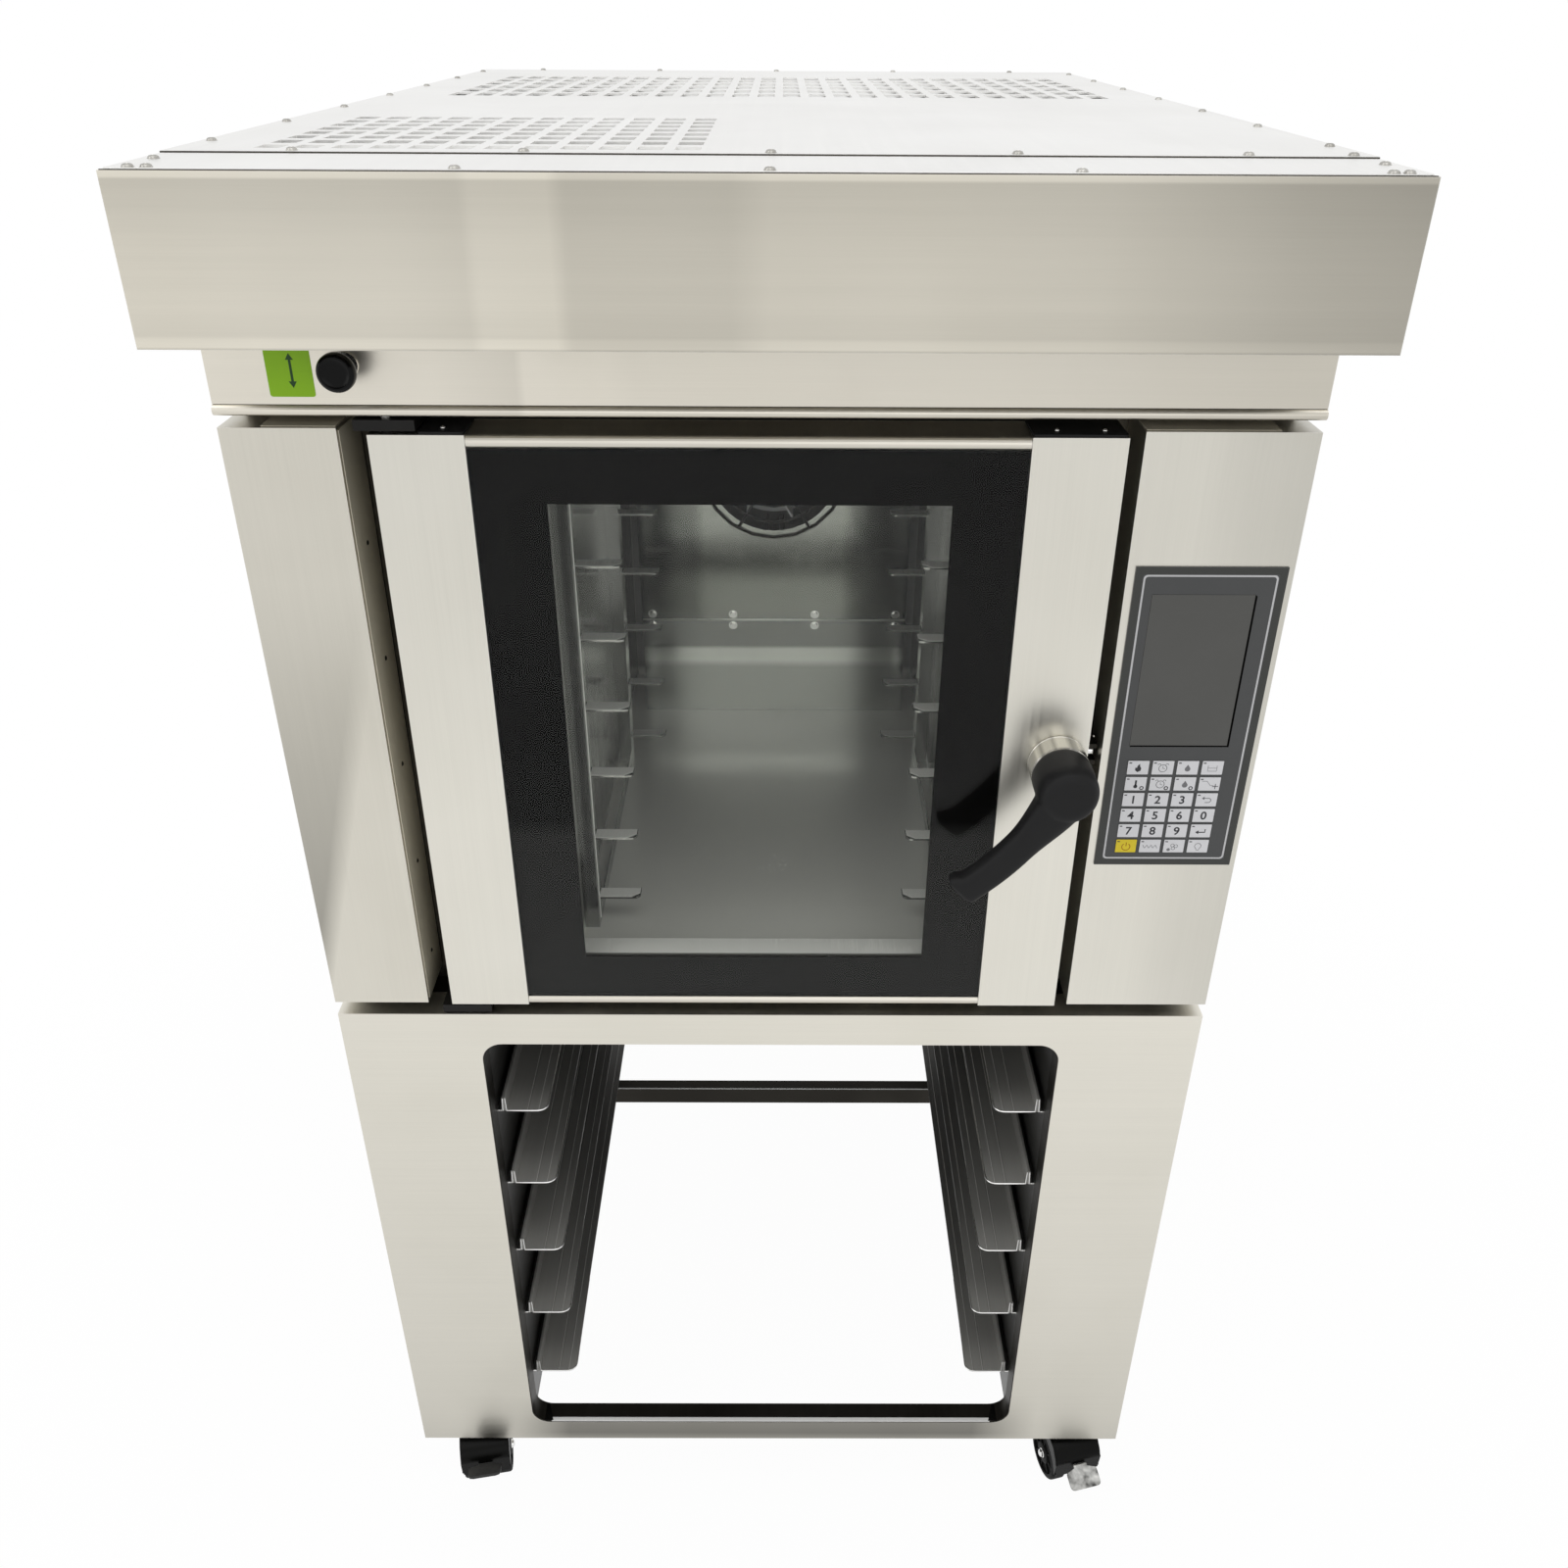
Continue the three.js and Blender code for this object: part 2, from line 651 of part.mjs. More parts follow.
// Lid with its turned-down edge and the vent holes of the electrical bay.
function topCover() {
  const holes = [];
  for (let column = 0; column < frontVentColumns; column += 1) {
    for (let row = 0; row < frontVentRows; row += 1) {
      const x = -halfWidth + frontVentLeft + column * ventPitchX;
      const y = frontVentSetback + row * ventPitchY;
      holes.push(block(x, x + ventWidth, y, y + ventDepth, 0, lidHeight + 1));
    }
  }
  return combine(
    [block(-halfWidth, halfWidth, 0, bodyDepth, 0, lidHeight)],
    [block(-halfWidth + sheet, halfWidth - sheet, sheet, bodyDepth - sheet, -1, lidHeight - sheet), ...holes],
  );
}

// Hood over the door: open below, with a lip folded in along its lower edges.
function canopy() {
  const depth = hoodDepth - seat;
  const inner = halfWidth - sheet;
  return combine(
    [block(-halfWidth, halfWidth, 0, depth, 0, hoodHeight)],
    [
      block(-inner, inner, sheet, depth - sheet, sheet, hoodHeight - sheet),
      block(-inner + hoodLip, inner - hoodLip, sheet + hoodLip, depth - sheet - hoodLip, -1, 2 * sheet),
    ],
  );
}

function upperFascia() {
  const height = shellTop - ledgeTop - seat;
  const hole = bar('y', damperRodRadius + running, -1, sheet + 1)
    .translate(-halfWidth + damperInset, 0, damperHeight);
  return combine([openBackPan(bodyWidth, zoneDepth, height)], [hole]);
}

// Strip with a round nose under the fascia, which keeps steam off the door.
function ledgeStrip() {
  const radius = ledgeHeight / 2;
  const profile = new THREE.Shape();
  profile.moveTo(zoneDepth, 0);
  profile.lineTo(zoneDepth, ledgeHeight);
  profile.lineTo(radius - ledgeNose, ledgeHeight);
  profile.absarc(radius - ledgeNose, radius, radius, Math.PI / 2, Math.PI * 1.5);
  return prismX(profile, -halfWidth, halfWidth, 5);
}

function frontFrame() {
  const half = halfWidth - sheet - seat;
  const mouth = block(-chamberWidth / 2, chamberWidth / 2, -1, sheet + 1,
    chamberFloor - seat, chamberFloor - seat + chamberHeight);
  return combine([block(-half, half, 0, sheet, 0, ledgeTop - shellBottom)], [mouth]);
}

piece(shell, 'oven_base', ovenBase(), 'darkSteel', 0, frameY + seat, standTop + seat);
for (const [side, label] of [[-1, 'left'], [1, 'right']]) {
  piece(shell, `${label}_side_panel`, sidePanel(-side), 'brushedSteel', side * halfWidth, sidePanelY, shellBottom);
}
piece(shell, 'rear_panel', rearPanel(), 'brushedSteel', 0, rearY, shellBottom + sheet + seat);
piece(shell, 'top_cover', topCover(), 'lidSteel', 0, frontY, lidBottom);
piece(shell, 'canopy', canopy(), 'brushedSteel', 0, hoodFrontY, hoodBottom);
piece(shell, 'upper_fascia', upperFascia(), 'brushedSteel', 0, frontY, ledgeTop + seat);
piece(shell, 'ledge_strip', ledgeStrip(), 'brushedSteel', 0, frontY, ledgeBottom);
piece(shell, 'front_frame', frontFrame(), 'darkSteel', 0, frameY, shellBottom);

const columnBoxHeight = columnHeight - seat;
const leftColumnX = -halfWidth + leftColumnWidth / 2;
const controlColumnX = halfWidth - controlColumnWidth / 2;
piece(shell, 'left_column_cover', openBackPan(leftColumnWidth, zoneDepth, columnBoxHeight), 'brushedSteel',
  leftColumnX, frontY, shellBottom);
piece(shell, 'control_column_cover', openBackPan(controlColumnWidth, zoneDepth, columnBoxHeight), 'brushedSteel',
  controlColumnX, frontY, shellBottom);

// ================================================================ chamber
const chamber = groupAt(shell, 0, frameY + sheet + seat, ovenBottom + chamberFloor);
const chamberHalf = chamberWidth / 2;
const baffleY = chamberDepth - baffleToBack;

function chamberLiner() {
  const out = chamberHalf + sheet;
  const rim = chamberHalf + chamberFlange;
  return combine(
    [
      block(-out, out, 0, chamberDepth + sheet, -sheet, chamberHeight + sheet),
      block(-rim, rim, 0, sheet, -chamberFlange, chamberHeight + chamberFlange),
    ],
    [
      block(-chamberHalf, chamberHalf, -1, chamberDepth, 0, chamberHeight),
      bar('y', fanShaftRadius + 2, chamberDepth - 1, chamberDepth + sheet + 1).translate(0, 0, fanHeight),
    ],
  );
}

function insulationJacket() {
  const inner = chamberHalf + sheet + seat;
  const outer = inner + woolSide;
  const front = sheet + seat;
  const back = chamberDepth + sheet + seat;
  return combine(
    [block(-outer, outer, front, back + woolBack, seat - chamberFloor, chamberHeight + sheet + woolTop)],
    [
      block(-inner, inner, front - 1, back, -sheet - seat, chamberHeight + sheet + seat),
      bar('y', motorNoseRadius + running, back - 1, back + woolBack + 1, 32).translate(0, 0, fanHeight),
    ],
  );
}

// Back wall of the baking space: a plate with side folds, cut open in front of the fan.
function fanBaffle() {
  const bottom = lowerBaffleHeight + seat;
  const half = baffleWidth / 2;
  return combine(
    [block(-half, half, 0, baffleFold, bottom, chamberHeight - seat)],
    [
      block(-half + sheet, half - sheet, sheet, baffleFold + 1, bottom - 1, chamberHeight),
      bar('y', fanHoleRadius, -1, sheet + 1, 40).translate(0, 0, fanHeight),
    ],
  );
}

function lowerBaffle() {
  const half = baffleWidth / 2;
  return combine(
    [block(-half, half, 0, baffleFold, seat, lowerBaffleHeight)],
    [block(-half + sheet, half - sheet, sheet, baffleFold + 1, -1, lowerBaffleHeight - sheet)],
  );
}

// Wire guard: rings tied by spokes that run right across.
function fanGuard() {
  const parts = [];
  for (let ring = 0; ring < guardRings; ring += 1) {
    parts.push(wireRing(guardRadius * (1 - ring / (guardRings + 0.4)), guardWire, 20, 4));
  }
  for (let spoke = 0; spoke < guardSpokes / 2; spoke += 1) {
    parts.push(bar('x', guardWire * 0.9, -guardRadius, guardRadius, 4).rotateY((spoke * Math.PI * 2) / guardSpokes));
  }
  parts.push(bar('y', guardHubRadius, -guardWire, guardWire, 12));
  return combine(parts);
}

// Radial fan: back plate, curved blades and a hub.
function fanWheel() {
  const parts = [
    bar('y', fanRadius, fanWidth - 2, fanWidth, 36),
    bar('y', fanHubRadius, 6, fanWidth, 20),
  ];
  for (let blade = 0; blade < fanBlades; blade += 1) {
    const shape = new THREE.Shape();
    shape.moveTo(fanHubRadius - 4, 0);
    shape.quadraticCurveTo(fanRadius * 0.6, bladeSweep * 0.15, fanRadius - 4, bladeSweep);
    shape.lineTo(fanRadius - 6, bladeSweep + 2);
    shape.quadraticCurveTo(fanRadius * 0.6, bladeSweep * 0.15 + 2.5, fanHubRadius - 4, 2.5);
    parts.push(prismY(shape, 4, fanWidth - 1, 4).rotateY((blade / fanBlades) * Math.PI * 2));
  }
  return combine(parts, [bar('y', fanShaftRadius + seat, -1, fanWidth + 1, 24)]);
}

function heatingRing(back) {
  const legs = [-1, 1].map((side) =>
    bar('y', heaterTube * 0.9, 0, back, 8).translate(side * 12, 0, -Math.sqrt(heaterRadius ** 2 - 144)));
  return combine([wireRing(heaterRadius, heaterTube, 28, 5), ...legs]);
}

// Motor with the nose that passes the insulation and holds the shaft's bearing.
function fanMotor() {
  const nose = woolBack;
  const bore = fanShaftRadius + running;
  const end = nose + motorLength;
  return turned([
    [bore, 0], [motorNoseRadius, 0], [motorNoseRadius, nose + 1], [motorRadius, nose + 1],
    [motorRadius, end - motorChamfer], [motorRadius - motorChamfer, end], [0, end], [0, shaftSocket],
    [bore, shaftSocket], [bore, 0],
  ], 24);
}

// Tray rack of one wall: two posts tied at top and bottom, with a lug on each level.
function trayRack(inward) {
  const top = chamberHeight - seat;
  const depth = rackPostStandoff - seat;
  const parts = [frontPostSetback, rearPostSetback].map((y) => prismZ(outline([
    [0, y], [-inward * depth, y], [-inward * depth, y + sheet], [-inward * sheet, y + sheet],
    [-inward * sheet, y + rackPostDepth - sheet], [-inward * depth, y + rackPostDepth - sheet],
    [-inward * depth, y + rackPostDepth], [0, y + rackPostDepth],
  ]), seat, top));
  const tieX = [0, -inward * sheet].sort((a, b) => a - b);
  const tieStart = frontPostSetback + rackPostDepth - 1;
  for (const z of [seat, top - rackTie]) {
    parts.push(block(tieX[0], tieX[1], tieStart, rearPostSetback + 1, z, z + rackTie));
  }
  for (let level = 0; level < lugLevels; level += 1) {
    const z = lugLowest + level * lugPitch;
    for (const y of [frontPostSetback + 6, rearPostSetback + 6]) {
      const lug = new THREE.Shape();
      lug.moveTo(-inward * sheet / 2, y);
      lug.lineTo(inward * (lugLength - lugCorner), y);
      lug.quadraticCurveTo(inward * lugLength, y, inward * lugLength, y + lugCorner);
      lug.lineTo(inward * lugLength, y + lugDepth);
      lug.lineTo(-inward * sheet / 2, y + lugDepth);
      parts.push(prismZ(lug, z - lugThickness, z, 4));
    }
  }
  return combine(parts);
}

piece(chamber, 'chamber_liner', chamberLiner(), 'polishedSteel');
piece(chamber, 'insulation_jacket', insulationJacket(), 'wool');
piece(chamber, 'fan_baffle', fanBaffle(), 'polishedSteel', 0, baffleY, 0);
piece(chamber, 'lower_baffle', lowerBaffle(), 'polishedSteel', 0, baffleY, 0);
piece(chamber, 'fan_guard', fanGuard(), 'chrome', 0, baffleY - seat - guardWire, fanHeight);
for (const [side, label] of [[-1, 'left'], [1, 'right']]) {
  piece(chamber, `${label}_tray_rack`, trayRack(-side), 'polishedSteel', side * (chamberHalf - rackPostStandoff), 0, 0);
}
const fanAxis = groupAt(chamber, 0, baffleY + fanBehindBaffle, fanHeight);
piece(fanAxis, 'fan_wheel', fanWheel(), 'polishedSteel');
piece(fanAxis, 'fan_shaft', bar('y', fanShaftRadius, 12, 12 + fanShaftLength, 24), 'zinc');
const heaterY = baffleY + heaterBehindBaffle;
piece(chamber, 'heating_ring', heatingRing(chamberDepth - seat - heaterY), 'darkSteel', 0, heaterY, fanHeight);
piece(chamber, 'fan_motor', fanMotor(), 'blackPaint', 0, chamberDepth + sheet + seat, fanHeight);

// ================================================================ controls
const controls = groupAt(shell, halfWidth - controlColumnWidth + membraneInset, frontY - seat, 0);
const membraneZ = shellBottom + membraneBottom;

function controlMembrane() {
  const keys = [];
  for (let column = 0; column < keyColumns; column += 1) {
    for (let row = 0; row < keyRows; row += 1) {
      const x = keyLeft + column * keyPitchX;
      const z = keyBottom + row * keyPitchZ;
      keys.push(block(x, x + keyWidth, -membraneThickness - keyRise, -membraneThickness / 2, z, z + keyHeight));
    }
  }
  const plate = block(0, membraneWidth, -membraneThickness, 0, 0, membraneHeight);
  const screen = block(screenLeft - seat, screenLeft + screenWidth + seat, -membraneThickness - 1, 1,
    screenBottom - seat, screenBottom + screenHeight + seat);
  return combine([plate, ...keys], [screen]);
}

piece(controls, 'control_membrane', controlMembrane(), 'membrane', 0, 0, membraneZ);
piece(controls, 'display_screen', block(0, screenWidth, -membraneThickness, 0, 0, screenHeight), 'screen',
  screenLeft, 0, membraneZ + screenBottom);

// Steam damper: a knob on a rod that draws a plate behind the fascia.
const damper = groupAt(shell, -halfWidth + damperInset, frontY, ledgeTop + seat + damperHeight);
const damperKnob = turned([
  [0, -knobStandoff - knobLength], [knobRadius - 6, -knobStandoff - knobLength],
  [knobRadius, -knobStandoff - knobLength + 6], [knobRadius, -knobStandoff - 9], [knobRadius - 7, -knobStandoff],
  [damperRodRadius + seat, -knobStandoff], [damperRodRadius + seat, -knobStandoff - 12], [0, -knobStandoff - 12],
], 24);
const damperRod = combine([
  bar('y', damperRodRadius, -knobStandoff - 12 + seat, -knobStandoff + damperRodLength, 20),
  block(-damperPlateWidth / 2, damperPlateWidth / 2, damperRodLength - knobStandoff - damperPlateThickness,
    damperRodLength - knobStandoff, -damperPlateHeight / 2, damperPlateHeight / 2),
]);
piece(damper, 'damper_knob', damperKnob, 'blackPlastic');
piece(damper, 'damper_rod', damperRod, 'chrome');

// ================================================================ door
// The door's group stands on the hinge axis, at the door's foot.
const doorLeftX = -halfWidth + leftColumnWidth + doorLeftGap;
const doorBottom = ovenBottom - doorDrop;
const hingeX = doorLeftX + hingeFromEdge;
const hingeY = frontY + hingeFromFront;
const door = groupAt(oven, hingeX, hingeY, doorBottom);
const doorX0 = -hingeFromEdge;
const doorX1 = doorX0 + doorWidth;
const doorY0 = -hingeFromFront;
const doorY1 = doorY0 + doorDepth;
const glassX0 = doorX0 + stileWidth + seat;
const glassX1 = doorX1 - stileWidth - seat;
const glassZ0 = bottomCapHeight + seat;
const glassZ1 = doorHeight - topCapHeight - seat;
const glassY0 = doorY0 + glassSetback;
const stileDepth = doorDepth - sheet - seat;
const windowX0 = doorX0 + windowLeft;
const windowX1 = doorX1 - windowRight;
const handleX = doorX1 - handleFromEdge;
const boltY = doorY0 + boltBehindFront;

function hingeStile() {
  const pinHole = (z) => bar('z', hingePinRadius + running, z - 2, z + 2).translate(0, 0, 0);
  const pan = openBackPan(stileWidth, stileDepth, doorHeight).translate(doorX0 + stileWidth / 2, doorY0, 0);
  return combine([pan], [pinHole(0.5), pinHole(doorHeight - 0.5)]);
}

function latchStile() {
  const pan = openBackPan(stileWidth, stileDepth, doorHeight).translate(doorX1 - stileWidth / 2, doorY0, 0);
  const spindleHole = bar('y', spindleRadius + running, doorY0 - 1, doorY0 + sheet + 1).translate(handleX, 0, handleHeight);
  const boltHole = bar('x', boltRadius + running, doorX1 - sheet - 1, doorX1 + 1).translate(0, boltY, handleHeight);
  return combine([pan], [spindleHole, boltHole]);
}

// Cap over the edge of the glass: a round-nosed bar with a flange to the back.
function doorCap(height, flangeOnTop) {
  const nose = height / 2;
  const profile = new THREE.Shape();
  const z0 = flangeOnTop ? height - sheet : 0;
  profile.moveTo(nose, height);
  profile.absarc(nose, nose, nose, Math.PI / 2, Math.PI * 1.5);
  profile.lineTo(capNose, 0);
  if (z0 > 0) profile.lineTo(capNose, z0);
  profile.lineTo(stileDepth, z0);
  profile.lineTo(stileDepth, z0 + sheet);
  if (z0 === 0) profile.lineTo(capNose, sheet);
  if (z0 === 0) profile.lineTo(capNose, height);
  return prismX(profile, glassX0, glassX1, 5);
}

function windowMask() {
  return combine(
    [block(glassX0, glassX1, 0, sheet, glassZ0, glassZ1)],
    [block(windowX0, windowX1, -1, sheet + 1, windowBottom, windowTop)],
  );
}

// Back of the door: a plate with a rim that runs forward to the inner pane.
function innerFrame() {
  const x0 = windowX0 - linerMargin;
  const x1 = windowX1 + linerMargin;
  const z0 = windowBottom - linerMargin;
  const z1 = windowTop + linerMargin;
  const rimFront = doorY0 + innerGlassFront + glassThickness + seat;
  return combine(
    [
      block(doorX0, doorX1, doorY1 - sheet, doorY1, 0, doorHeight),
      block(x0 - sheet, x1 + sheet, rimFront, doorY1, z0 - sheet, z1 + sheet),
    ],
    [block(x0, x1, rimFront - 1, doorY1 + 1, z0, z1)],
  );
}

function innerGlass() {
  const margin = linerMargin + innerGlassMargin;
  return block(windowX0 - margin, windowX1 + margin, 0, glassThickness, windowBottom - margin, windowTop + margin);
}

piece(door, 'door_hinge_stile', hingeStile(), 'brushedSteel');
piece(door, 'door_latch_stile', latchStile(), 'brushedSteel');
piece(door, 'door_top_cap', doorCap(topCapHeight, true), 'brushedSteel', 0, doorY0, doorHeight - topCapHeight);
piece(door, 'door_bottom_cap', doorCap(bottomCapHeight, false), 'brushedSteel', 0, doorY0, 0);
piece(door, 'door_outer_glass', block(glassX0, glassX1, 0, glassThickness, glassZ0, glassZ1), 'clearGlass', 0, glassY0, 0);
piece(door, 'door_window_mask', windowMask(), 'blackEnamel', 0, glassY0 + glassThickness + seat, 0);
piece(door, 'door_inner_glass', innerGlass(), 'clearGlass', 0, doorY0 + innerGlassFront, 0);
piece(door, 'door_inner_frame', innerFrame(), 'polishedSteel');

// Seal between the door and the front frame, round the chamber's mouth.
function doorGasket(depth) {
  const inner = chamberHalf + gasketInset;
  const outer = inner + gasketWidth;
  const ring = roundedRect(-outer, -gasketInset - gasketWidth, outer, chamberHeight + gasketInset + gasketWidth, 25);
  const hole = roundedRect(-inner, -gasketInset, inner, chamberHeight + gasketInset, 8);
  return combine([prismY(ring, 0, depth, 4)], [prismY(hole, -1, depth + 1, 3)]);
}

const gasketFront = hingeY + doorY1 + seat;
piece(shell, 'door_gasket', doorGasket(frameY - seat - gasketFront), 'rubber', 0, gasketFront, ovenBottom + chamberFloor);

// Hinge bracket: a leg on the front frame, an arm over the stile and the pin. `up` is +1 for the lower one.
function hingeBracket(up) {
  const legBack = frameY - seat - hingeY;
  const half = hingeArmWidth / 2;
  const armZ = [0, -up * hingeArmHeight].sort((a, b) => a - b);
  const legZ = [-up * hingeArmHeight, up * (hingeLegHeight - hingeArmHeight)].sort((a, b) => a - b);
  const pinZ = [-up * 2, up * hingePinLength].sort((a, b) => a - b);
  return combine([
    block(-half, half, doorY0 + 2, legBack, armZ[0], armZ[1]),
    block(-half, half, legBack - hingeLegDepth, legBack, legZ[0], legZ[1]),
    bar('z', hingePinRadius, pinZ[0], pinZ[1], 24),
  ]);
}

piece(shell, 'lower_hinge_bracket', hingeBracket(1), 'blackPaint', hingeX, hingeY, doorBottom - hingePlay);
piece(shell, 'upper_hinge_bracket', hingeBracket(-1), 'blackPaint', hingeX, hingeY,
  doorBottom + doorHeight + hingePlay);

// ================================================================ handle and latch
const handle = groupAt(door, handleX, doorY0 - seat - escutcheonLength - seat, handleHeight);

function escutcheon() {
  const bore = spindleRadius + running;
  return turned([
    [bore, 0], [escutcheonRadius - 2, 0], [escutcheonRadius, 2], [escutcheonRadius, escutcheonLength],
    [bore, escutcheonLength], [bore, 0],
  ], 40);
}

// One ring of the lever: a soft rectangle across the arm at `share` of its length.
function leverRing(share, endCut = 0, lip = 0, shrink = 1) {
  const blend = Math.min(Math.max(share / leverTaper, 0), 1);
  const narrow = blend * blend * (3 - 2 * blend);
  const width = leverRootWidth + (leverWidth - leverRootWidth) * narrow;
  const front = -bossLength + 1 + leverRise * narrow;
  const thickness = leverThickness * (1.5 - 0.5 * narrow);
  const bow = leverBow * Math.sin(Math.PI * 0.85 * Math.max(share, 0));
  const ring = [];
  for (let i = 0; i < leverRingPoints; i += 1) {
    const angle = (i / leverRingPoints) * Math.PI * 2;
    const soft = (value) => Math.sign(value) * Math.abs(value) ** 0.6;
    const across = soft(Math.cos(angle)) * shrink;
    const offset = (across * width) / 2 + (across > 0 ? across * lip : 0);
    ring.push(new THREE.Vector3(
      share * leverLength - (endCut * across) / 2,
      front + thickness / 2 + (soft(Math.sin(angle)) * shrink * thickness) / 2,
      bow - offset,
    ));
  }
  return ring;
}

// Boss on the spindle and the bowed arm that narrows to the grip and ends in a small lip.
function handleLever() {
  const rings = [-0.08, 0.06, 0.18, 0.3, 0.42, 0.56, 0.7, 0.84].map((share) => leverRing(share));
  rings.push(leverRing(0.9, leverTipCut), leverRing(0.94, leverTipCut, leverFlare));
  rings.push(leverRing(0.98, leverTipCut, leverFlare), leverRing(1, leverTipCut, leverFlare, 0.8));
  const arm = loft(rings).rotateY(THREE.MathUtils.degToRad(leverAngle));
  const boss = turned([
    [0, -bossLength], [bossRadius * 0.65, -bossLength], [bossRadius * 0.87, -bossLength + bossRound * 0.27],
    [bossRadius, -bossLength + bossRound], [bossRadius, -3], [bossRadius - 1, 0], [0, 0],
  ], 32);
  const spindle = bar('y', spindleRadius, -4, escutcheonLength + 2 * seat + spindleReach, 20);
  return combine([boss, arm, spindle]);
}

piece(door, 'handle_escutcheon', escutcheon(), 'polishedSteel', handleX, doorY0 - seat - escutcheonLength, handleHeight);
piece(handle, 'handle_lever', handleLever(), 'blackPlastic');
piece(door, 'latch_bolt', bar('x', boltRadius, -boltLength, 0, 20), 'chrome', doorX1 + boltReach, boltY, handleHeight);

// Keeper on the front frame: two prongs, open to the front, that the bolt rests between.
function latchKeeper() {
  const gap = boltRadius + keeperPlay;
  const width = boltReach;
  return combine([
    block(0, width, -3, 0, -gap - keeperProng - 14, gap + keeperProng + 14),
    block(0, width, -keeperDepth, -1, gap, gap + keeperProng),
    block(0, width, -keeperDepth, -1, -gap - keeperProng, -gap),
  ]);
}

piece(shell, 'latch_keeper', latchKeeper(), 'chrome', hingeX + doorX1 + 2.5, frameY - seat, doorBottom + handleHeight);

export default oven;
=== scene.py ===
import math

import bmesh
import bpy
from mathutils import Matrix, Vector


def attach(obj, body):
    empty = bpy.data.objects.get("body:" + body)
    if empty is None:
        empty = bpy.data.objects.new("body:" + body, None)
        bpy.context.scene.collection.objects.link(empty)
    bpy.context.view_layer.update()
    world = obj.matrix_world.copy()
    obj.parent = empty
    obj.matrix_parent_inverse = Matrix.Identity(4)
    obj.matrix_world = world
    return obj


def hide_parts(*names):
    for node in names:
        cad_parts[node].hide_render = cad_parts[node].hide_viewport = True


# Hot-air tray oven on its tray stand. Lengths in this script are millimetres until a piece is
# finished, when they become metres in the frame's own axes. Colours are in percent.

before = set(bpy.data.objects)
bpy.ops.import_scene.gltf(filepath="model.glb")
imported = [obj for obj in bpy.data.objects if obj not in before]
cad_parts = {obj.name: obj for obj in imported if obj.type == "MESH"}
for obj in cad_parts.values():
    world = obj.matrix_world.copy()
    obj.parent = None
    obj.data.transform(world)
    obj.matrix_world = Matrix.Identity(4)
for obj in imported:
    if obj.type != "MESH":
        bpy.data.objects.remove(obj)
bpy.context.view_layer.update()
SCENE = bpy.context.scene

# -------------------- places taken from the frame
HANDLE = (295.0, 1228.0)            # x and z of the handle's axis
ROSETTE = (-677.3, -650.3)          # y of the rosette's front and back
BOSS_BACK = -677.6                  # y at which the lever's boss begins
DAMPER = (-375.0, 1626.3)           # x and z of the damper's rod
KEYPAD = (348.0, -651.8, 1102.3)    # lower left corner of the membrane's face
LID_BOTTOM, LID_TOP = 1795.0, 1797.4        # the lid's sheet; the screw heads reach 1800
SIDE_FACE, REAR_FACE = 500, 770     # x of the side panels' faces and y of the rear panel's
LUG_TOPS = [975 + 83.8 * level for level in range(6)]
RUNNER_TOPS = [211 + 125 * level for level in range(5)]
RUNNER_WALL = 340.75                # x of the middle of the runners' wall
RUNNER_FRONT = -617.0
# stem x and y, turn about the stem, and the tilt of the brake pedal where there is one
CASTORS = {"fl": (-428, -585, 190, 26), "fr": (428, -585, 194, -26),
           "rl": (-428, 700, 175, None), "rr": (428, 700, 188, None)}
WHEEL_TRAIL, WHEEL_RADIUS, HOOD_HALF = 36.0, 37.5, 35.0
AXLE = (0, WHEEL_TRAIL, WHEEL_RADIUS)       # middle of a castor's axle, from the floor under its stem
TOWARD, UP = (0, -1, 0), (0, 0, 1)          # out of the oven's front, and up
SIDES = (-1, 1)
MILLIMETRE, MERGE_WITHIN = 0.001, 0.001     # in metres, and in millimetres


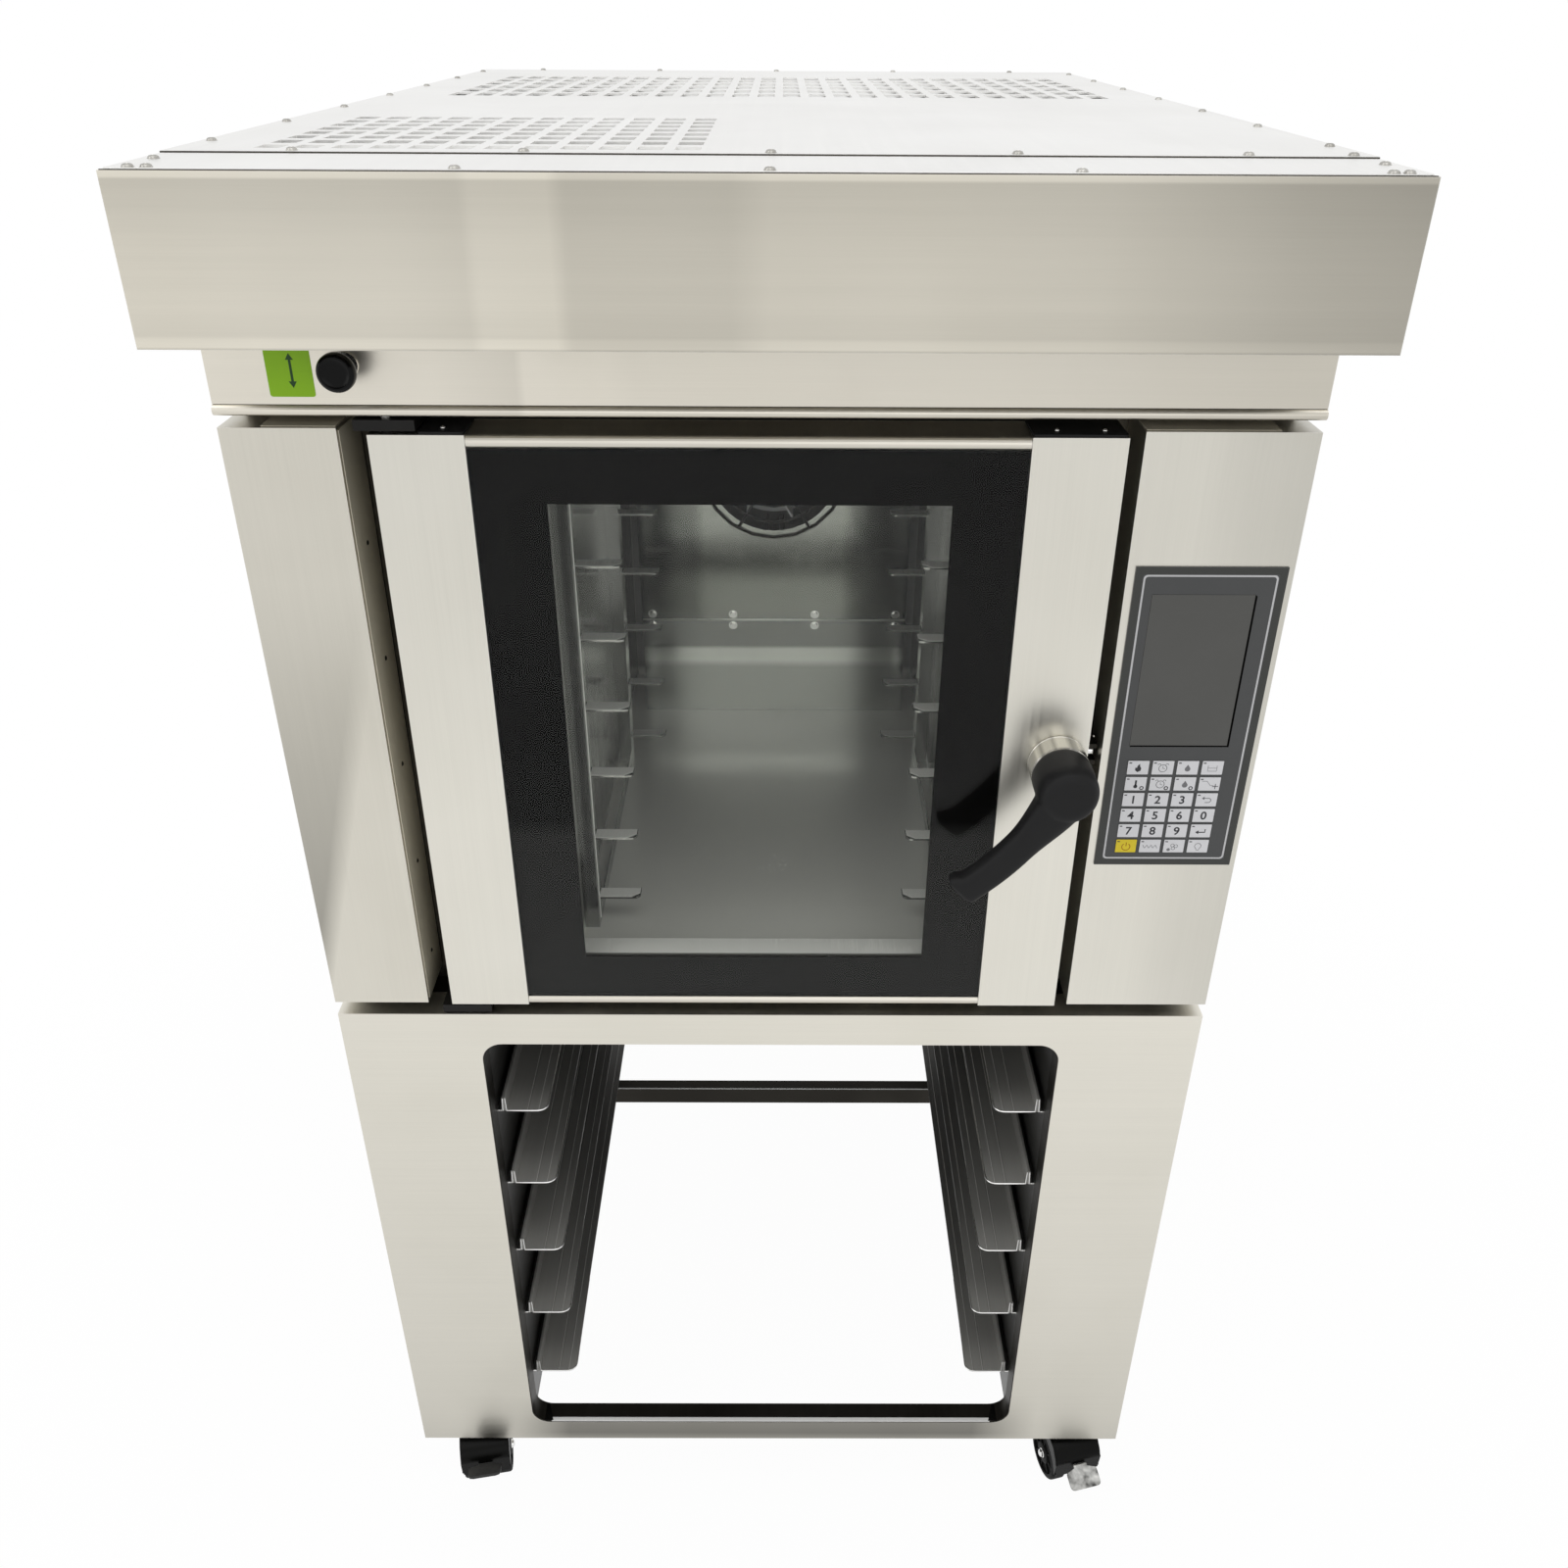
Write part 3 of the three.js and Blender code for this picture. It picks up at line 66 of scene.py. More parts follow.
# ==================== shader nodes
class Nodes:
    """Short ways to build a node tree. A value is a number, a triple or another node's output."""

    def __init__(self, tree):
        self.tree = tree

    def feed(self, socket, value):
        if isinstance(value, bpy.types.NodeSocket):
            self.tree.links.new(value, socket)
        else:
            socket.default_value = (*value, 1.0) if socket.type == "RGBA" else value

    def set(self, node, **values):
        """Gives a node's inputs their values, with underscores for spaces."""
        for key, value in values.items():
            self.feed(node.inputs[key.replace("_", " ")], value)
        return node

    def add(self, kind, settings=None, **values):
        """A new node with its properties and its inputs."""
        node = self.tree.nodes.new(kind)
        for key, value in (settings or {}).items():
            setattr(node, key, value)
        return self.set(node, **values)

    def row(self, kind, settings, *values):
        """A new node whose first inputs are fed in their order."""
        node = self.add(kind, settings)
        for socket, value in zip(node.inputs, values):
            self.feed(socket, value)
        return node.outputs

    def math(self, operation, a, b=0.0, clamp=False):
        return self.row("ShaderNodeMath", {"operation": operation, "use_clamp": clamp}, a, b)[0]

    def plus(self, a, b):
        return self.math("ADD", a, b)

    def times(self, a, b):
        return self.math("MULTIPLY", a, b)

    def dot(self, a, b):
        return self.row("ShaderNodeVectorMath", {"operation": "DOT_PRODUCT"}, a, b)["Value"]

    def normal(self):
        return self.add("ShaderNodeNewGeometry").outputs["Normal"]

    def noise(self, vector, scale, detail=3.0, roughness=0.55):
        return self.add("ShaderNodeTexNoise", Vector=vector, Scale=scale, Detail=detail,
                        Roughness=roughness).outputs["Fac"]

    def stretch(self, vector, scale):
        return self.add("ShaderNodeMapping", Vector=vector, Scale=scale).outputs[0]

    def remap(self, value, low, high, to_low=0.0, to_high=1.0):
        return self.add("ShaderNodeMapRange", Value=value, From_Min=low, From_Max=high, To_Min=to_low,
                        To_Max=to_high).outputs[0]

    def blend(self, factor, low, high, kind="MIX"):
        """A colour between two."""
        node = self.add("ShaderNodeMix", {"data_type": "RGBA", "blend_type": kind}, Factor=factor)
        self.feed(node.inputs[6], low)
        self.feed(node.inputs[7], high)
        return node.outputs[2]

    def bump(self, height, distance):
        return self.add("ShaderNodeBump", Strength=1.0, Distance=distance, Height=height).outputs[0]

    def group(self, tree, **values):
        """Places a shader group and gives its outputs."""
        return self.add("ShaderNodeGroup", {"node_tree": tree}, **values).outputs

    def end_in(self, factor, first, second):
        """Lets the material's surface be a mix of two shaders."""
        mixed = self.row("ShaderNodeMixShader", None, factor, first, second)[0]
        self.set(self.tree.nodes["Material Output"], Surface=mixed)


def shader_group(*outputs, **inputs):
    """Makes a shader group of the function below, which finds its outputs from its inputs. An input
    takes a number unless its default is None: then it takes a vector."""
    def make_group(build):
        tree = bpy.data.node_groups.new(build.__name__, "ShaderNodeTree")
        for label, default in inputs.items():
            kind = "NodeSocketVector" if default is None else "NodeSocketFloat"
            name = label.replace("_", " ")
            socket = tree.interface.new_socket(name=name, in_out="INPUT", socket_type=kind)
            if default is not None:
                socket.default_value = default
        for label in outputs:
            tree.interface.new_socket(name=label, in_out="OUTPUT", socket_type="NodeSocketFloat")
        enter, leave = tree.nodes.new("NodeGroupInput"), tree.nodes.new("NodeGroupOutput")
        results = build(Nodes(tree), *list(enter.outputs)[:len(inputs)])
        for socket, result in zip(leave.inputs, results):
            tree.links.new(result, socket)
        return tree
    return make_group


@shader_group("Lines", "Height", Stretched=None, Depth=1.0)
def brushed_grain(n, stretched, depth):
    """Fine brushing lines: the coordinates come in stretched along the grain."""
    fine, coarse = n.noise(stretched, 1.0, 4.0, 0.7), n.noise(stretched, 0.22, 2.0, 0.5)
    lines = n.plus(n.times(fine, 0.65), n.times(coarse, 0.35))
    return lines, n.times(lines, depth)


@shader_group("Tone", Place=None, Bands=0.6, Cloud_Scale=5.0)
def rolled_tone(n, place, bands, cloud_scale):
    """The slow change of tone over a rolled and brushed sheet: soft upright bands and faint clouds."""
    band = n.remap(n.noise(n.stretch(place, (2.6, 1.4, 0.25)), 1.6, 1.0, 0.4), 0.36, 0.64)
    cloud = n.remap(n.noise(place, cloud_scale, 2.0, 0.5), 0.3, 0.7)
    soft = n.times(cloud, n.math("SUBTRACT", 1.0, bands))
    return [n.math("ADD", n.times(band, bands), soft, clamp=True)]


@shader_group("Marks", Place=None, Amount=0.3)
def handling_marks(n, place, amount):
    """Where hands and cloths have wiped: uneven patches and short faint streaks."""
    patch = n.remap(n.noise(place, 9.0, 4.0, 0.6), 0.52, 0.72)
    streak = n.remap(n.noise(n.stretch(place, (14, 14, 90)), 1.0, 3.0, 0.6), 0.6, 0.75, 0.0, 0.6)
    return [n.times(n.math("ADD", patch, streak, clamp=True), amount)]


@shader_group("Height", "Uneven", Place=None, Size=900.0)
def moulded_stipple(n, place, size):
    """The fine stipple of a moulded surface, with a slower unevenness under it."""
    return n.noise(place, size, 2.0, 0.6), n.noise(place, 24.0)


@shader_group("Dust", Place=None, Amount=0.2)
def settled_dust(n, place, amount):
    """Dust on what faces up, broken by noise."""
    facing_up = n.remap(n.dot(n.normal(), UP), 0.4, 0.95)
    broken = n.remap(n.noise(place, 30.0, 5.0, 0.65), 0.4, 0.7, 0.15, 1.0)
    return [n.times(n.times(facing_up, broken), amount)]


@shader_group("Rubbed And Lit", Place=None, Width=0.001)
def rubbed_and_lit_edges(n, place, width):
    """Where corners are rubbed bright, with a painted highlight, from the bevel between a surface and its
    neighbours.
    """
    bevel = n.add("ShaderNodeBevel", {"samples": 4}, Radius=width).outputs[0]
    edge = n.remap(n.dot(bevel, n.normal()), 0.80, 0.995, 1.0, 0.0)
    broken = n.remap(n.noise(place, 60.0), 0.3, 0.6, 0.35, 1.0)
    return [n.math("MULTIPLY", edge, broken, clamp=True)]


@shader_group("Share", Place=None, Direction=None, Mirrored=0.0, From=0.0, To=1.0)
def place_along(n, place, direction, mirrored, start, end):
    """How far a place lies along a direction: 0 to 1 between two distances, mirrored about 0 if asked."""
    distance = n.dot(place, direction)
    change = n.math("SUBTRACT", n.math("ABSOLUTE", distance), distance)
    return [n.remap(n.plus(distance, n.times(change, mirrored)), start, end)]


# ==================== materials
AXES = {"X": (1.0, 0.0, 0.0), "Y": (0.0, 1.0, 0.0), "Z": (0.0, 0.0, 1.0)}
BRUSHING_DEPTH, RUBBED_WIDTH = 0.00002, 0.0012      # metres


def percent(*colours):
    return [tuple(part / 100 for part in colour) for colour in colours]


def start_material(name, on="", specular=None):
    """A new material, which goes on the CAD nodes named in `on`."""
    material = bpy.data.materials.new(name)
    for node in on.split():
        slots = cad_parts[node].data.materials
        slots.clear()
        slots.append(material)
    material.use_nodes = True
    n = Nodes(material.node_tree)
    shader = material.node_tree.nodes["Principled BSDF"]
    if specular is not None:
        n.set(shader, Specular_IOR_Level=specular)
    return material, n, shader, n.add("ShaderNodeTexCoord").outputs["Object"]


def share_along(n, place, axis, start, end, mirrored=0.0):
    """0 to 1 from `start` to `end`, in millimetres along an axis or a direction."""
    return n.group(place_along, Place=place, Direction=AXES.get(axis, axis), Mirrored=mirrored,
                   From=start / 1000, To=end / 1000)["Share"]


def shaded_along(n, place, colour, axis, stops, reach=None):
    """Paints shade and light along an axis: `stops` hold the tone at each millimetre, `reach` where it acts.
    """
    start, end = min(stops), max(stops)
    ramp = n.add("ShaderNodeValToRGB", Fac=share_along(n, place, axis, start, end))
    points = ramp.color_ramp.elements
    points.remove(points[1])
    for index, (at, tone) in enumerate(stops.items()):
        position = (at - start) / (end - start)
        point = points[0] if index == 0 else points.new(position)
        point.position, point.color = position, (tone, tone, tone, 1.0)
    factor = share_along(n, place, *reach) if reach else 1.0
    return n.blend(factor, colour, ramp.outputs["Color"], "MULTIPLY")


# Reaches of a shading: axis or direction, where it begins and is full, and whether it is mirrored.
UNDER_OPENING = ("X", 380, 290, 1.0)
BEHIND_RIBS = ("X", 330, 338, 1.0)
LEFT_OF_SHADE_LINE = ((1.0, 0.0, -0.258), -738, -760)


def steel(name, dark, light, grain, rough=(0.28, 0.4), bands=0.6, marks=0.3, rubbed_and_lit=(90, 88, 84),
          clouds=5.0, shades=(), metallic=1.0, on=""):
    """Brushed sheet steel. `grain` stretches the brushing: a small number along it, large ones across."""
    material, n, shader, place = start_material(name, on)
    dark, light, rubbed_and_lit = percent(dark, light, rubbed_and_lit)
    tone = n.group(rolled_tone, Place=place, Bands=bands, Cloud_Scale=clouds)["Tone"]
    lines = n.group(brushed_grain, Stretched=n.stretch(place, grain), Depth=1.0)
    wiped = n.group(handling_marks, Place=place, Amount=marks)["Marks"]
    # Edges take the rubbed colour: partly wear, partly a painted highlight along them.
    worn = n.group(rubbed_and_lit_edges, Width=RUBBED_WIDTH, Place=place)["Rubbed And Lit"]
    bright = tuple(min(1.0, part * 1.25) for part in light)
    colour = n.blend(n.remap(lines["Lines"], 0.3, 0.7, 0.0, 0.22), n.blend(tone, dark, light), bright)
    for shade in shades:
        colour = shaded_along(n, place, colour, *shade)
    base = n.remap(lines["Lines"], 0.3, 0.7, *rough)
    n.set(shader, Metallic=metallic, Base_Color=n.blend(n.times(worn, 0.5), colour, rubbed_and_lit),
          Roughness=n.plus(base, n.times(wiped, 0.22)), Normal=n.bump(lines["Height"], BRUSHING_DEPTH))
    return material


def moulded(name, dark, light, rough, size=900.0, depth=0.00006, dust=0.0, specular=0.25, on=""):
    """Moulded plastic, rubber or paint with a fine stipple."""
    material, n, shader, place = start_material(name, on, specular)
    dark, light, grey = percent(dark, light, (30, 29, 27))
    skin = n.group(moulded_stipple, Place=place, Size=size)
    wiped = n.group(handling_marks, Place=place, Amount=0.5)["Marks"]
    colour = n.blend(skin["Uneven"], dark, light)
    if dust:
        colour = n.blend(n.group(settled_dust, Place=place, Amount=dust)["Dust"], colour, grey)
    base = n.remap(skin["Uneven"], 0.3, 0.7, *rough)
    n.set(shader, Base_Color=colour, Roughness=n.math("SUBTRACT", base, n.times(wiped, 0.12)),
          Normal=n.bump(skin["Height"], depth))
    return material


def printed(name, fresh, worn, rough=(0.3, 0.42), specular=0.3, shades=(), on=""):
    """Ink or film, even but for a little wear."""
    material, n, shader, place = start_material(name, on, specular)
    wiped = n.group(handling_marks, Place=place, Amount=0.5)["Marks"]
    colour = n.blend(wiped, *percent(fresh, worn))
    for shade in shades:
        colour = shaded_along(n, place, colour, *shade)
    n.set(shader, Base_Color=colour, Roughness=n.remap(wiped, 0.0, 0.5, *rough))
    return material


def clear_glass(name, on):
    """Coated clear glass that lets the lamps' light through to what lies behind it."""
    material, n, shader, place = start_material(name, on)
    tint = (0.955, 0.96, 0.945)
    wiped = n.group(handling_marks, Place=place, Amount=0.3)["Marks"]
    n.set(shader, Transmission_Weight=1.0, IOR=1.18, Roughness=n.remap(wiped, 0.0, 0.3, 0.0, 0.003),
          Base_Color=n.blend(wiped, tint, tuple(part * 0.97 for part in tint)))
    path = n.add("ShaderNodeLightPath").outputs
    through = n.add("ShaderNodeBsdfTransparent", Color=tuple(part ** 0.5 for part in tint)).outputs[0]
    n.end_in(n.math("MAXIMUM", path["Is Shadow Ray"], path["Is Diffuse Ray"]), shader.outputs[0], through)
    return material


ALONG_X, ALONG_Y, ALONG_Z = (6, 900, 900), (900, 6, 900), (900, 900, 6)
# What is kept under a name here is used again on pieces; the rest only goes on its CAD nodes.
steel("panel_steel", (60, 57, 50), (68, 65, 58), ALONG_X,
    on="stand_left_side stand_right_side left_side_panel right_side_panel "
    "rear_panel door_top_cap door_bottom_cap")
# Painted shade: darker towards the floor, most of all in the strip under the opening.
steel("stand_steel", (70, 67.5, 59.5), (76, 73.5, 66), ALONG_X,
    shades=[("Z", {103: 0.55, 116: 0.34, 140: 0.4, 200: 0.9, 330: 1}, UNDER_OPENING),
    ("Z", {103: 0.72, 160: 0.8, 330: 0.88, 640: 0.95, 890: 1})], on="stand_front_panel")
# Painted shade: the stiles darker towards the top.
steel("door_steel", (70, 68, 60.5), (76, 74, 67), ALONG_Z, bands=0.3,
    shades=[("Z", {906: 1, 1150: 1, 1400: 0.92, 1564: 0.88})], on="door_hinge_stile door_latch_stile")
# Painted shade: darker low down, left of a slanting line, and a little darker towards the top.
steel("left_column_steel", (63, 60.5, 53), (70, 67.5, 60), ALONG_Z, bands=0.3,
    shades=[("Z", {906: 0.48, 1000: 0.52, 1200: 0.7, 1420: 1, 1570: 1}, LEFT_OF_SHADE_LINE),
    ("Z", {906: 1, 1200: 0.98, 1450: 0.9, 1570: 0.9})], on="left_column_cover")
# Painted shade: darker towards the top and towards the right side.
steel("control_column_steel", (68, 66, 59), (74, 72, 65), ALONG_Z, bands=0.3,
    shades=[("Z", {906: 1, 1100: 1, 1440: 0.9, 1570: 0.88}),
    ("X", {340: 1, 400: 1, 440: 0.92, 500: 0.86})], on="control_column_cover")
# Painted shade in bands, darkest on the right; painted highlights and shade lines at bottom fold and top
# edge.
steel("canopy_steel", (56, 53, 45.5), (61, 58, 50.5), ALONG_X, bands=0.5,
    shades=[("X", {-500: 1, -300: 0.96, -235: 0.9, -225: 0.99, -168: 0.98, -155: 0.84, -30: 0.8, 0: 0.88,
    110: 0.88, 260: 0.82, 400: 0.66, 500: 0.6}),
    ("Z", {1665: 0.8, 1667: 1.2, 1673: 1.16, 1676: 1.04, 1700: 1.08, 1740: 1.02, 1789: 0.88, 1791: 1.15,
    1795: 1.2})], on="canopy")
# Painted shade: darker towards the right, with narrow darker bands.
steel("fascia_steel", (67, 63.5, 55), (71, 67.5, 59.5), ALONG_X, bands=0.5,
    shades=[("X", {-500: 1, -300: 0.98, -225: 0.88, -220: 1, -150: 0.99, -120: 0.94, 200: 0.9,
    500: 0.8})], on="upper_fascia ledge_strip")
LID = steel("lid_steel", (72, 71.5, 70), (78, 77.7, 76.5), ALONG_Y, (0.3, 0.45), 0.3, on="top_cover")
DECK = steel("lid_deck_steel", (66, 66, 65), (74, 74, 73), ALONG_Y, (0.4, 0.5), 0.3)
LID_SCREW = steel("lid_screw_steel", (22, 21, 19), (50, 49, 46), ALONG_Z, (0.2, 0.3), 0.5)
# Near black: painted shade on the rails inside the stand.
steel("shaded_rail_steel", (2, 1.8, 1.5), (4.5, 4.2, 3.6), ALONG_X, (0.45, 0.6), 0.4, rubbed_and_lit=(6, 5.6, 5),
    on="stand_mid_rail stand_rear_rail")
# Near black: painted shade for parts in shadow under, behind and inside the oven, rivets and screw recesses.
SHADED_STEEL = steel("shaded_steel", (2, 1.8, 1.5), (4.5, 4.2, 3.6), ALONG_Y, (0.4, 0.55), 0.4,
    rubbed_and_lit=(10, 9.5, 8.5), on="stand_top_frame oven_base heating_ring latch_keeper")
# Near black: painted shade, as the front frame shows only in the gaps round the door.
FRAME_STEEL = steel("front_frame_steel", (3, 2.7, 2.2), (7, 6.4, 5.2), ALONG_Z, (0.3, 0.45), 0.4,
    rubbed_and_lit=(14, 13, 11), on="front_frame")
# Painted shade towards the bottom and the top of the column's return.
RETURN_STEEL = steel("column_return_steel", (60, 55.5, 44), (78, 73, 59), ALONG_Z, (0.3, 0.45), 0.4,
    rubbed_and_lit=(60, 56, 45), metallic=0.25, shades=[("Z", {906: 0.25, 950: 0.8, 1250: 1, 1480: 0.8,
    1566: 0.6})])
# Painted shade: darker deeper into the stand, darkest on the wall behind the ribs.
steel("runner_steel", (34, 33.5, 31.5), (46, 45.5, 43), ALONG_Y, (0.3, 0.45), 0.2, rubbed_and_lit=(42, 42, 40),
    metallic=0.25, shades=[("Y", {-617: 1, -560: 0.74, -430: 0.5, -200: 0.38, 183: 0.32}),
    ("Y", {-617: 0.12, 183: 0.05}, BEHIND_RIBS)], on="stand_left_rack stand_right_rack")
# Near white: painted highlights on the runners' cut edges and along the baffles' joint.
EDGE_HIGHLIGHT = steel("edge_highlight_steel", (82, 82, 80), (95, 95, 93), ALONG_X, (0.25, 0.35), 0.1)
# Painted highlights along the runners' folds, with painted shade deeper into the stand.
FOLD_HIGHLIGHT = steel("fold_highlight_steel", (56, 56, 54), (72, 72, 70), ALONG_Y, (0.25, 0.35), 0.3, metallic=0.4,
    shades=[("Y", {-617: 1, -300: 0.6, 183: 0.45})])
# Painted light on the chamber's floor at the mouth and painted shade on the walls above it.
steel("chamber_steel", (86, 86, 82), (95, 95, 91), ALONG_Z, (0.14, 0.24), 0.5, metallic=0.2,
    shades=[("Z", {935: 1, 942: 0.9, 950: 0.36, 1150: 0.34, 1200: 0.28, 1525: 0.25})], on="chamber_liner")
steel("inner_frame_steel", (36, 36.5, 35), (50, 50.5, 48.5), ALONG_Z, (0.14, 0.24), 0.5, metallic=0.6,
    on="door_inner_frame")
# Painted shade towards both sides of the baffle.
steel("baffle_steel", (26, 27, 24.5), (34, 35, 32.5), ALONG_X, (0.08, 0.16), 0.5,
    shades=[("X", {-200: 0.5, -120: 0.6, -100: 1, 100: 1, 120: 0.6, 200: 0.5})], on="fan_baffle")
# Painted highlight in a band 1022 to 1040 mm up, with painted shade above it.
steel("lower_baffle_steel", (44, 45.5, 43), (54, 55, 52.5), ALONG_X, (0.08, 0.16), 0.5,
    shades=[("Z", {937: 1, 1010: 0.9, 1022: 1.5, 1040: 1.4, 1046: 0.6, 1089: 0.55})], on="lower_baffle")
steel("tray_rack_steel", (26, 26.5, 25), (38, 38.5, 37), ALONG_Z, (0.14, 0.22), 0.4,
    on="left_tray_rack right_tray_rack")
# Near white: painted light on lug tops, the bay's lip and the window's sills, and highlights on post edges.
PAINTED_LIGHT = steel("painted_light_white", (92, 92, 90), (97, 97, 95), ALONG_Y, (0.2, 0.3), 0.1, metallic=0.0)
# Painted reflections: light and dark streaks across the rosette.
TURNED = steel("turned_steel", (56, 54, 48), (70, 68, 62), ALONG_Y, (0.2, 0.3), 0.6,
    shades=[("X", {264: 0.35, 268: 0.5, 270: 0.95, 274: 0.42, 277: 0.8, 283: 0.72, 286: 0.48, 290: 0.86,
    298: 0.82, 304: 0.36, 309: 0.55, 312: 1, 317: 0.6, 320: 0.9, 326: 0.3})], on="handle_escutcheon")
CHROME = steel("bright_plating", (66, 66, 65), (80, 80, 79), ALONG_Z, (0.07, 0.14), 0.3,
    on="fan_guard damper_rod latch_bolt")
ZINC = steel("zinc_plating", (42, 43, 43), (60, 61, 61), ALONG_X, (0.3, 0.5), 0.6,
    on="fan_wheel fan_shaft")
steel("pedal_zinc", (3, 3, 2.8), (60, 60, 58), (60, 60, 60), (0.3, 0.5), 0.05, marks=0.0,
    rubbed_and_lit=(12, 12, 11.5), clouds=70.0, on="castor_brake_fr")
SCREW = steel("screw_steel", (56, 55, 52), (78, 77, 74), ALONG_Z, (0.2, 0.3), 0.5)
moulded("black_paint", (0.6, 0.6, 0.5), (1.4, 1.3, 1.2), (0.35, 0.5), 500.0, specular=0.2,
    on="fan_motor upper_hinge_bracket lower_hinge_bracket")
PLASTIC = moulded("black_plastic", (1.3, 1.3, 1.35), (1.9, 1.9, 1.95), (0.42, 0.52), 1100.0, 0.00004,
    specular=0.14, on="handle_lever")
KNOB_PLASTIC = moulded("knob_plastic", (0.2, 0.2, 0.2), (0.5, 0.5, 0.5), (0.12, 0.22), 900.0, 0.00002,
    specular=0.12, on="damper_knob")
HOUSING = moulded("castor_plastic", (0.2, 0.2, 0.18), (0.5, 0.5, 0.45), (0.24, 0.4), 700.0, specular=0.09,
    on="castor_fork_fl castor_fork_fr castor_fork_rl castor_fork_rr")
TYRE = moulded("castor_tyre", (0.5, 0.5, 0.5), (1, 1, 1), (0.5, 0.7), 500.0, 0.0001, 0.04, 0.08,
    on="castor_wheel_fl castor_wheel_fr castor_wheel_rl castor_wheel_rr")
moulded("pedal_black", (2.8, 2.8, 2.8), (4.6, 4.6, 4.5), (0.4, 0.55), 600.0, dust=0.15,
    on="castor_brake_fl")
moulded("door_seal", (1.6, 1.5, 1.4), (3, 2.9, 2.7), (0.6, 0.8), 600.0, on="door_gasket")
moulded("mineral_wool", (46, 42, 30), (66, 61, 46), (0.85, 1.0), 220.0, 0.002, on="insulation_jacket")
moulded("membrane_foil", (7.8, 8, 8.1), (9.2, 9.4, 9.5), (0.35, 0.45), 1500.0, 0.00002,
    on="control_membrane")
# Painted reflection: the mask lighter low down, below about 1130 mm.
MASK = printed("window_mask", (2.2, 2.2, 2.15), (2.6, 2.6, 2.55), specular=0.0,
    shades=[("Z", {917: 1, 1130: 0.9, 1150: 0.2, 1250: 0.1, 1400: 0.2, 1551: 0.15})],
    on="door_window_mask")
printed("display_glass", (10, 10, 9.4), (11.2, 11.2, 10.6), (0.14, 0.24), on="display_screen")
FOIL_EDGE = printed("membrane_border", (5.2, 5.4, 5), (6.6, 6.8, 6.4))
INK_WHITE = printed("key_white", (80, 80, 82), (74, 74, 76))
INK_GREY = printed("key_grey", (3.5, 3.5, 4), (7, 7, 7.5))
INK_FAINT = printed("key_faint", (20, 20, 21), (30, 30, 31))
INK_SILVER = printed("key_silver", (62, 62, 63), (70, 70, 70))
INK_YELLOW = printed("key_yellow", (84, 66, 3), (74, 58, 4))
INK_AMBER = printed("key_amber", (42, 17, 0.5), (36, 15, 1))
PATCH = printed("green_patch", (29, 57, 1.4), (22, 47, 1.8))
PATCH_INK = printed("patch_ink", (1.2, 6, 0.8), (2, 8, 1.2))
clear_glass("door_glass", on="door_outer_glass")
clear_glass("inner_glass", on="door_inner_glass")


# ==================== making pieces
def scene_object(name, data):
    made = bpy.data.objects.new(name, data)
    SCENE.collection.objects.link(made)
    return made


def mesh_object(name, mesh):
    data = bpy.data.meshes.new(name)
    mesh.to_mesh(data)
    mesh.free()
    return scene_object(name, data)


def built(shapes):
    """A mesh in millimetres made from shapes, each a mesh tool with what it takes."""
    mesh = bmesh.new()
    for tool, *values in shapes:
        tool(mesh, *values)
    return mesh


def piece(name, material, shapes, replaces=(), smooth=35.0, body="cabinet", at=Matrix()):
    """Makes a piece of the oven, moved to `at`, that rides on `body`."""
    mesh = built(shapes)
    mesh.transform(at)
    bmesh.ops.remove_doubles(mesh, verts=mesh.verts, dist=MERGE_WITHIN)
    bmesh.ops.recalc_face_normals(mesh, faces=mesh.faces)
    mesh.transform(Matrix.Scale(MILLIMETRE, 4))
    for face in mesh.faces:
        face.smooth = smooth > 0
    for edge in mesh.edges:
        edge.smooth = edge.calc_face_angle(0.0) < math.radians(smooth)
    made = mesh_object(name, mesh)
    made.data.materials.append(material)
    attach(made, body)
    if replaces:
        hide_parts(*replaces)
    return made


def frozen(made):
    """Applies a piece's modifiers to its mesh."""
    graph = bpy.context.evaluated_depsgraph_get()
    data = bpy.data.meshes.new_from_object(made.evaluated_get(graph))
    made.modifiers.clear()
    made.data = data
    return made


# -------------------- places and outlines
def facing(point, direction, roll=0.0):
    """A matrix at `point` whose local Z looks along `direction`."""
    turn = Vector(direction).normalized().to_track_quat("Z", "Y").to_matrix().to_4x4()
    return Matrix.Translation(Vector(point)) @ turn @ Matrix.Rotation(roll, 4, "Z")


def front_sheet(x, y, z):
    """Local X to the right, local Y up, local Z out of the oven's front."""
    return Matrix(((1, 0, 0, x), (0, 0, -1, y), (0, 1, 0, z), (0, 0, 0, 1)))


def raised(z):
    return Matrix.Translation((0, 0, z))


def turned(degrees, axis="Z"):
    return Matrix.Rotation(math.radians(degrees), 4, axis)


def arc(cx, cy, radius, start, end, steps=18):
    """Points of an arc between two angles in degrees, both included."""
    angles = [math.radians(start + (end - start) * i / steps) for i in range(steps + 1)]
    return [(cx + radius * math.cos(angle), cy + radius * math.sin(angle)) for angle in angles]


def circle(radius, sides):
    return arc(0, 0, radius, 0, 360, sides)[:-1]


def curve(start, control, end, steps=6):
    """Points of a quadratic curve between two points, both included."""
    a, b, c = Vector(start), Vector(control), Vector(end)
    shares = [i / steps for i in range(steps + 1)]
    return [a * (1 - t) ** 2 + b * 2 * t * (1 - t) + c * t ** 2 for t in shares]


def rounded(x0, y0, x1, y1, radius, steps=5):
    """A rectangle with round corners."""
    corners = ((x1 - radius, y0 + radius, -90), (x1 - radius, y1 - radius, 0),
               (x0 + radius, y1 - radius, 90), (x0 + radius, y0 + radius, 180))
    return [point for x, y, start in corners for point in arc(x, y, radius, start, start + 90, steps)]


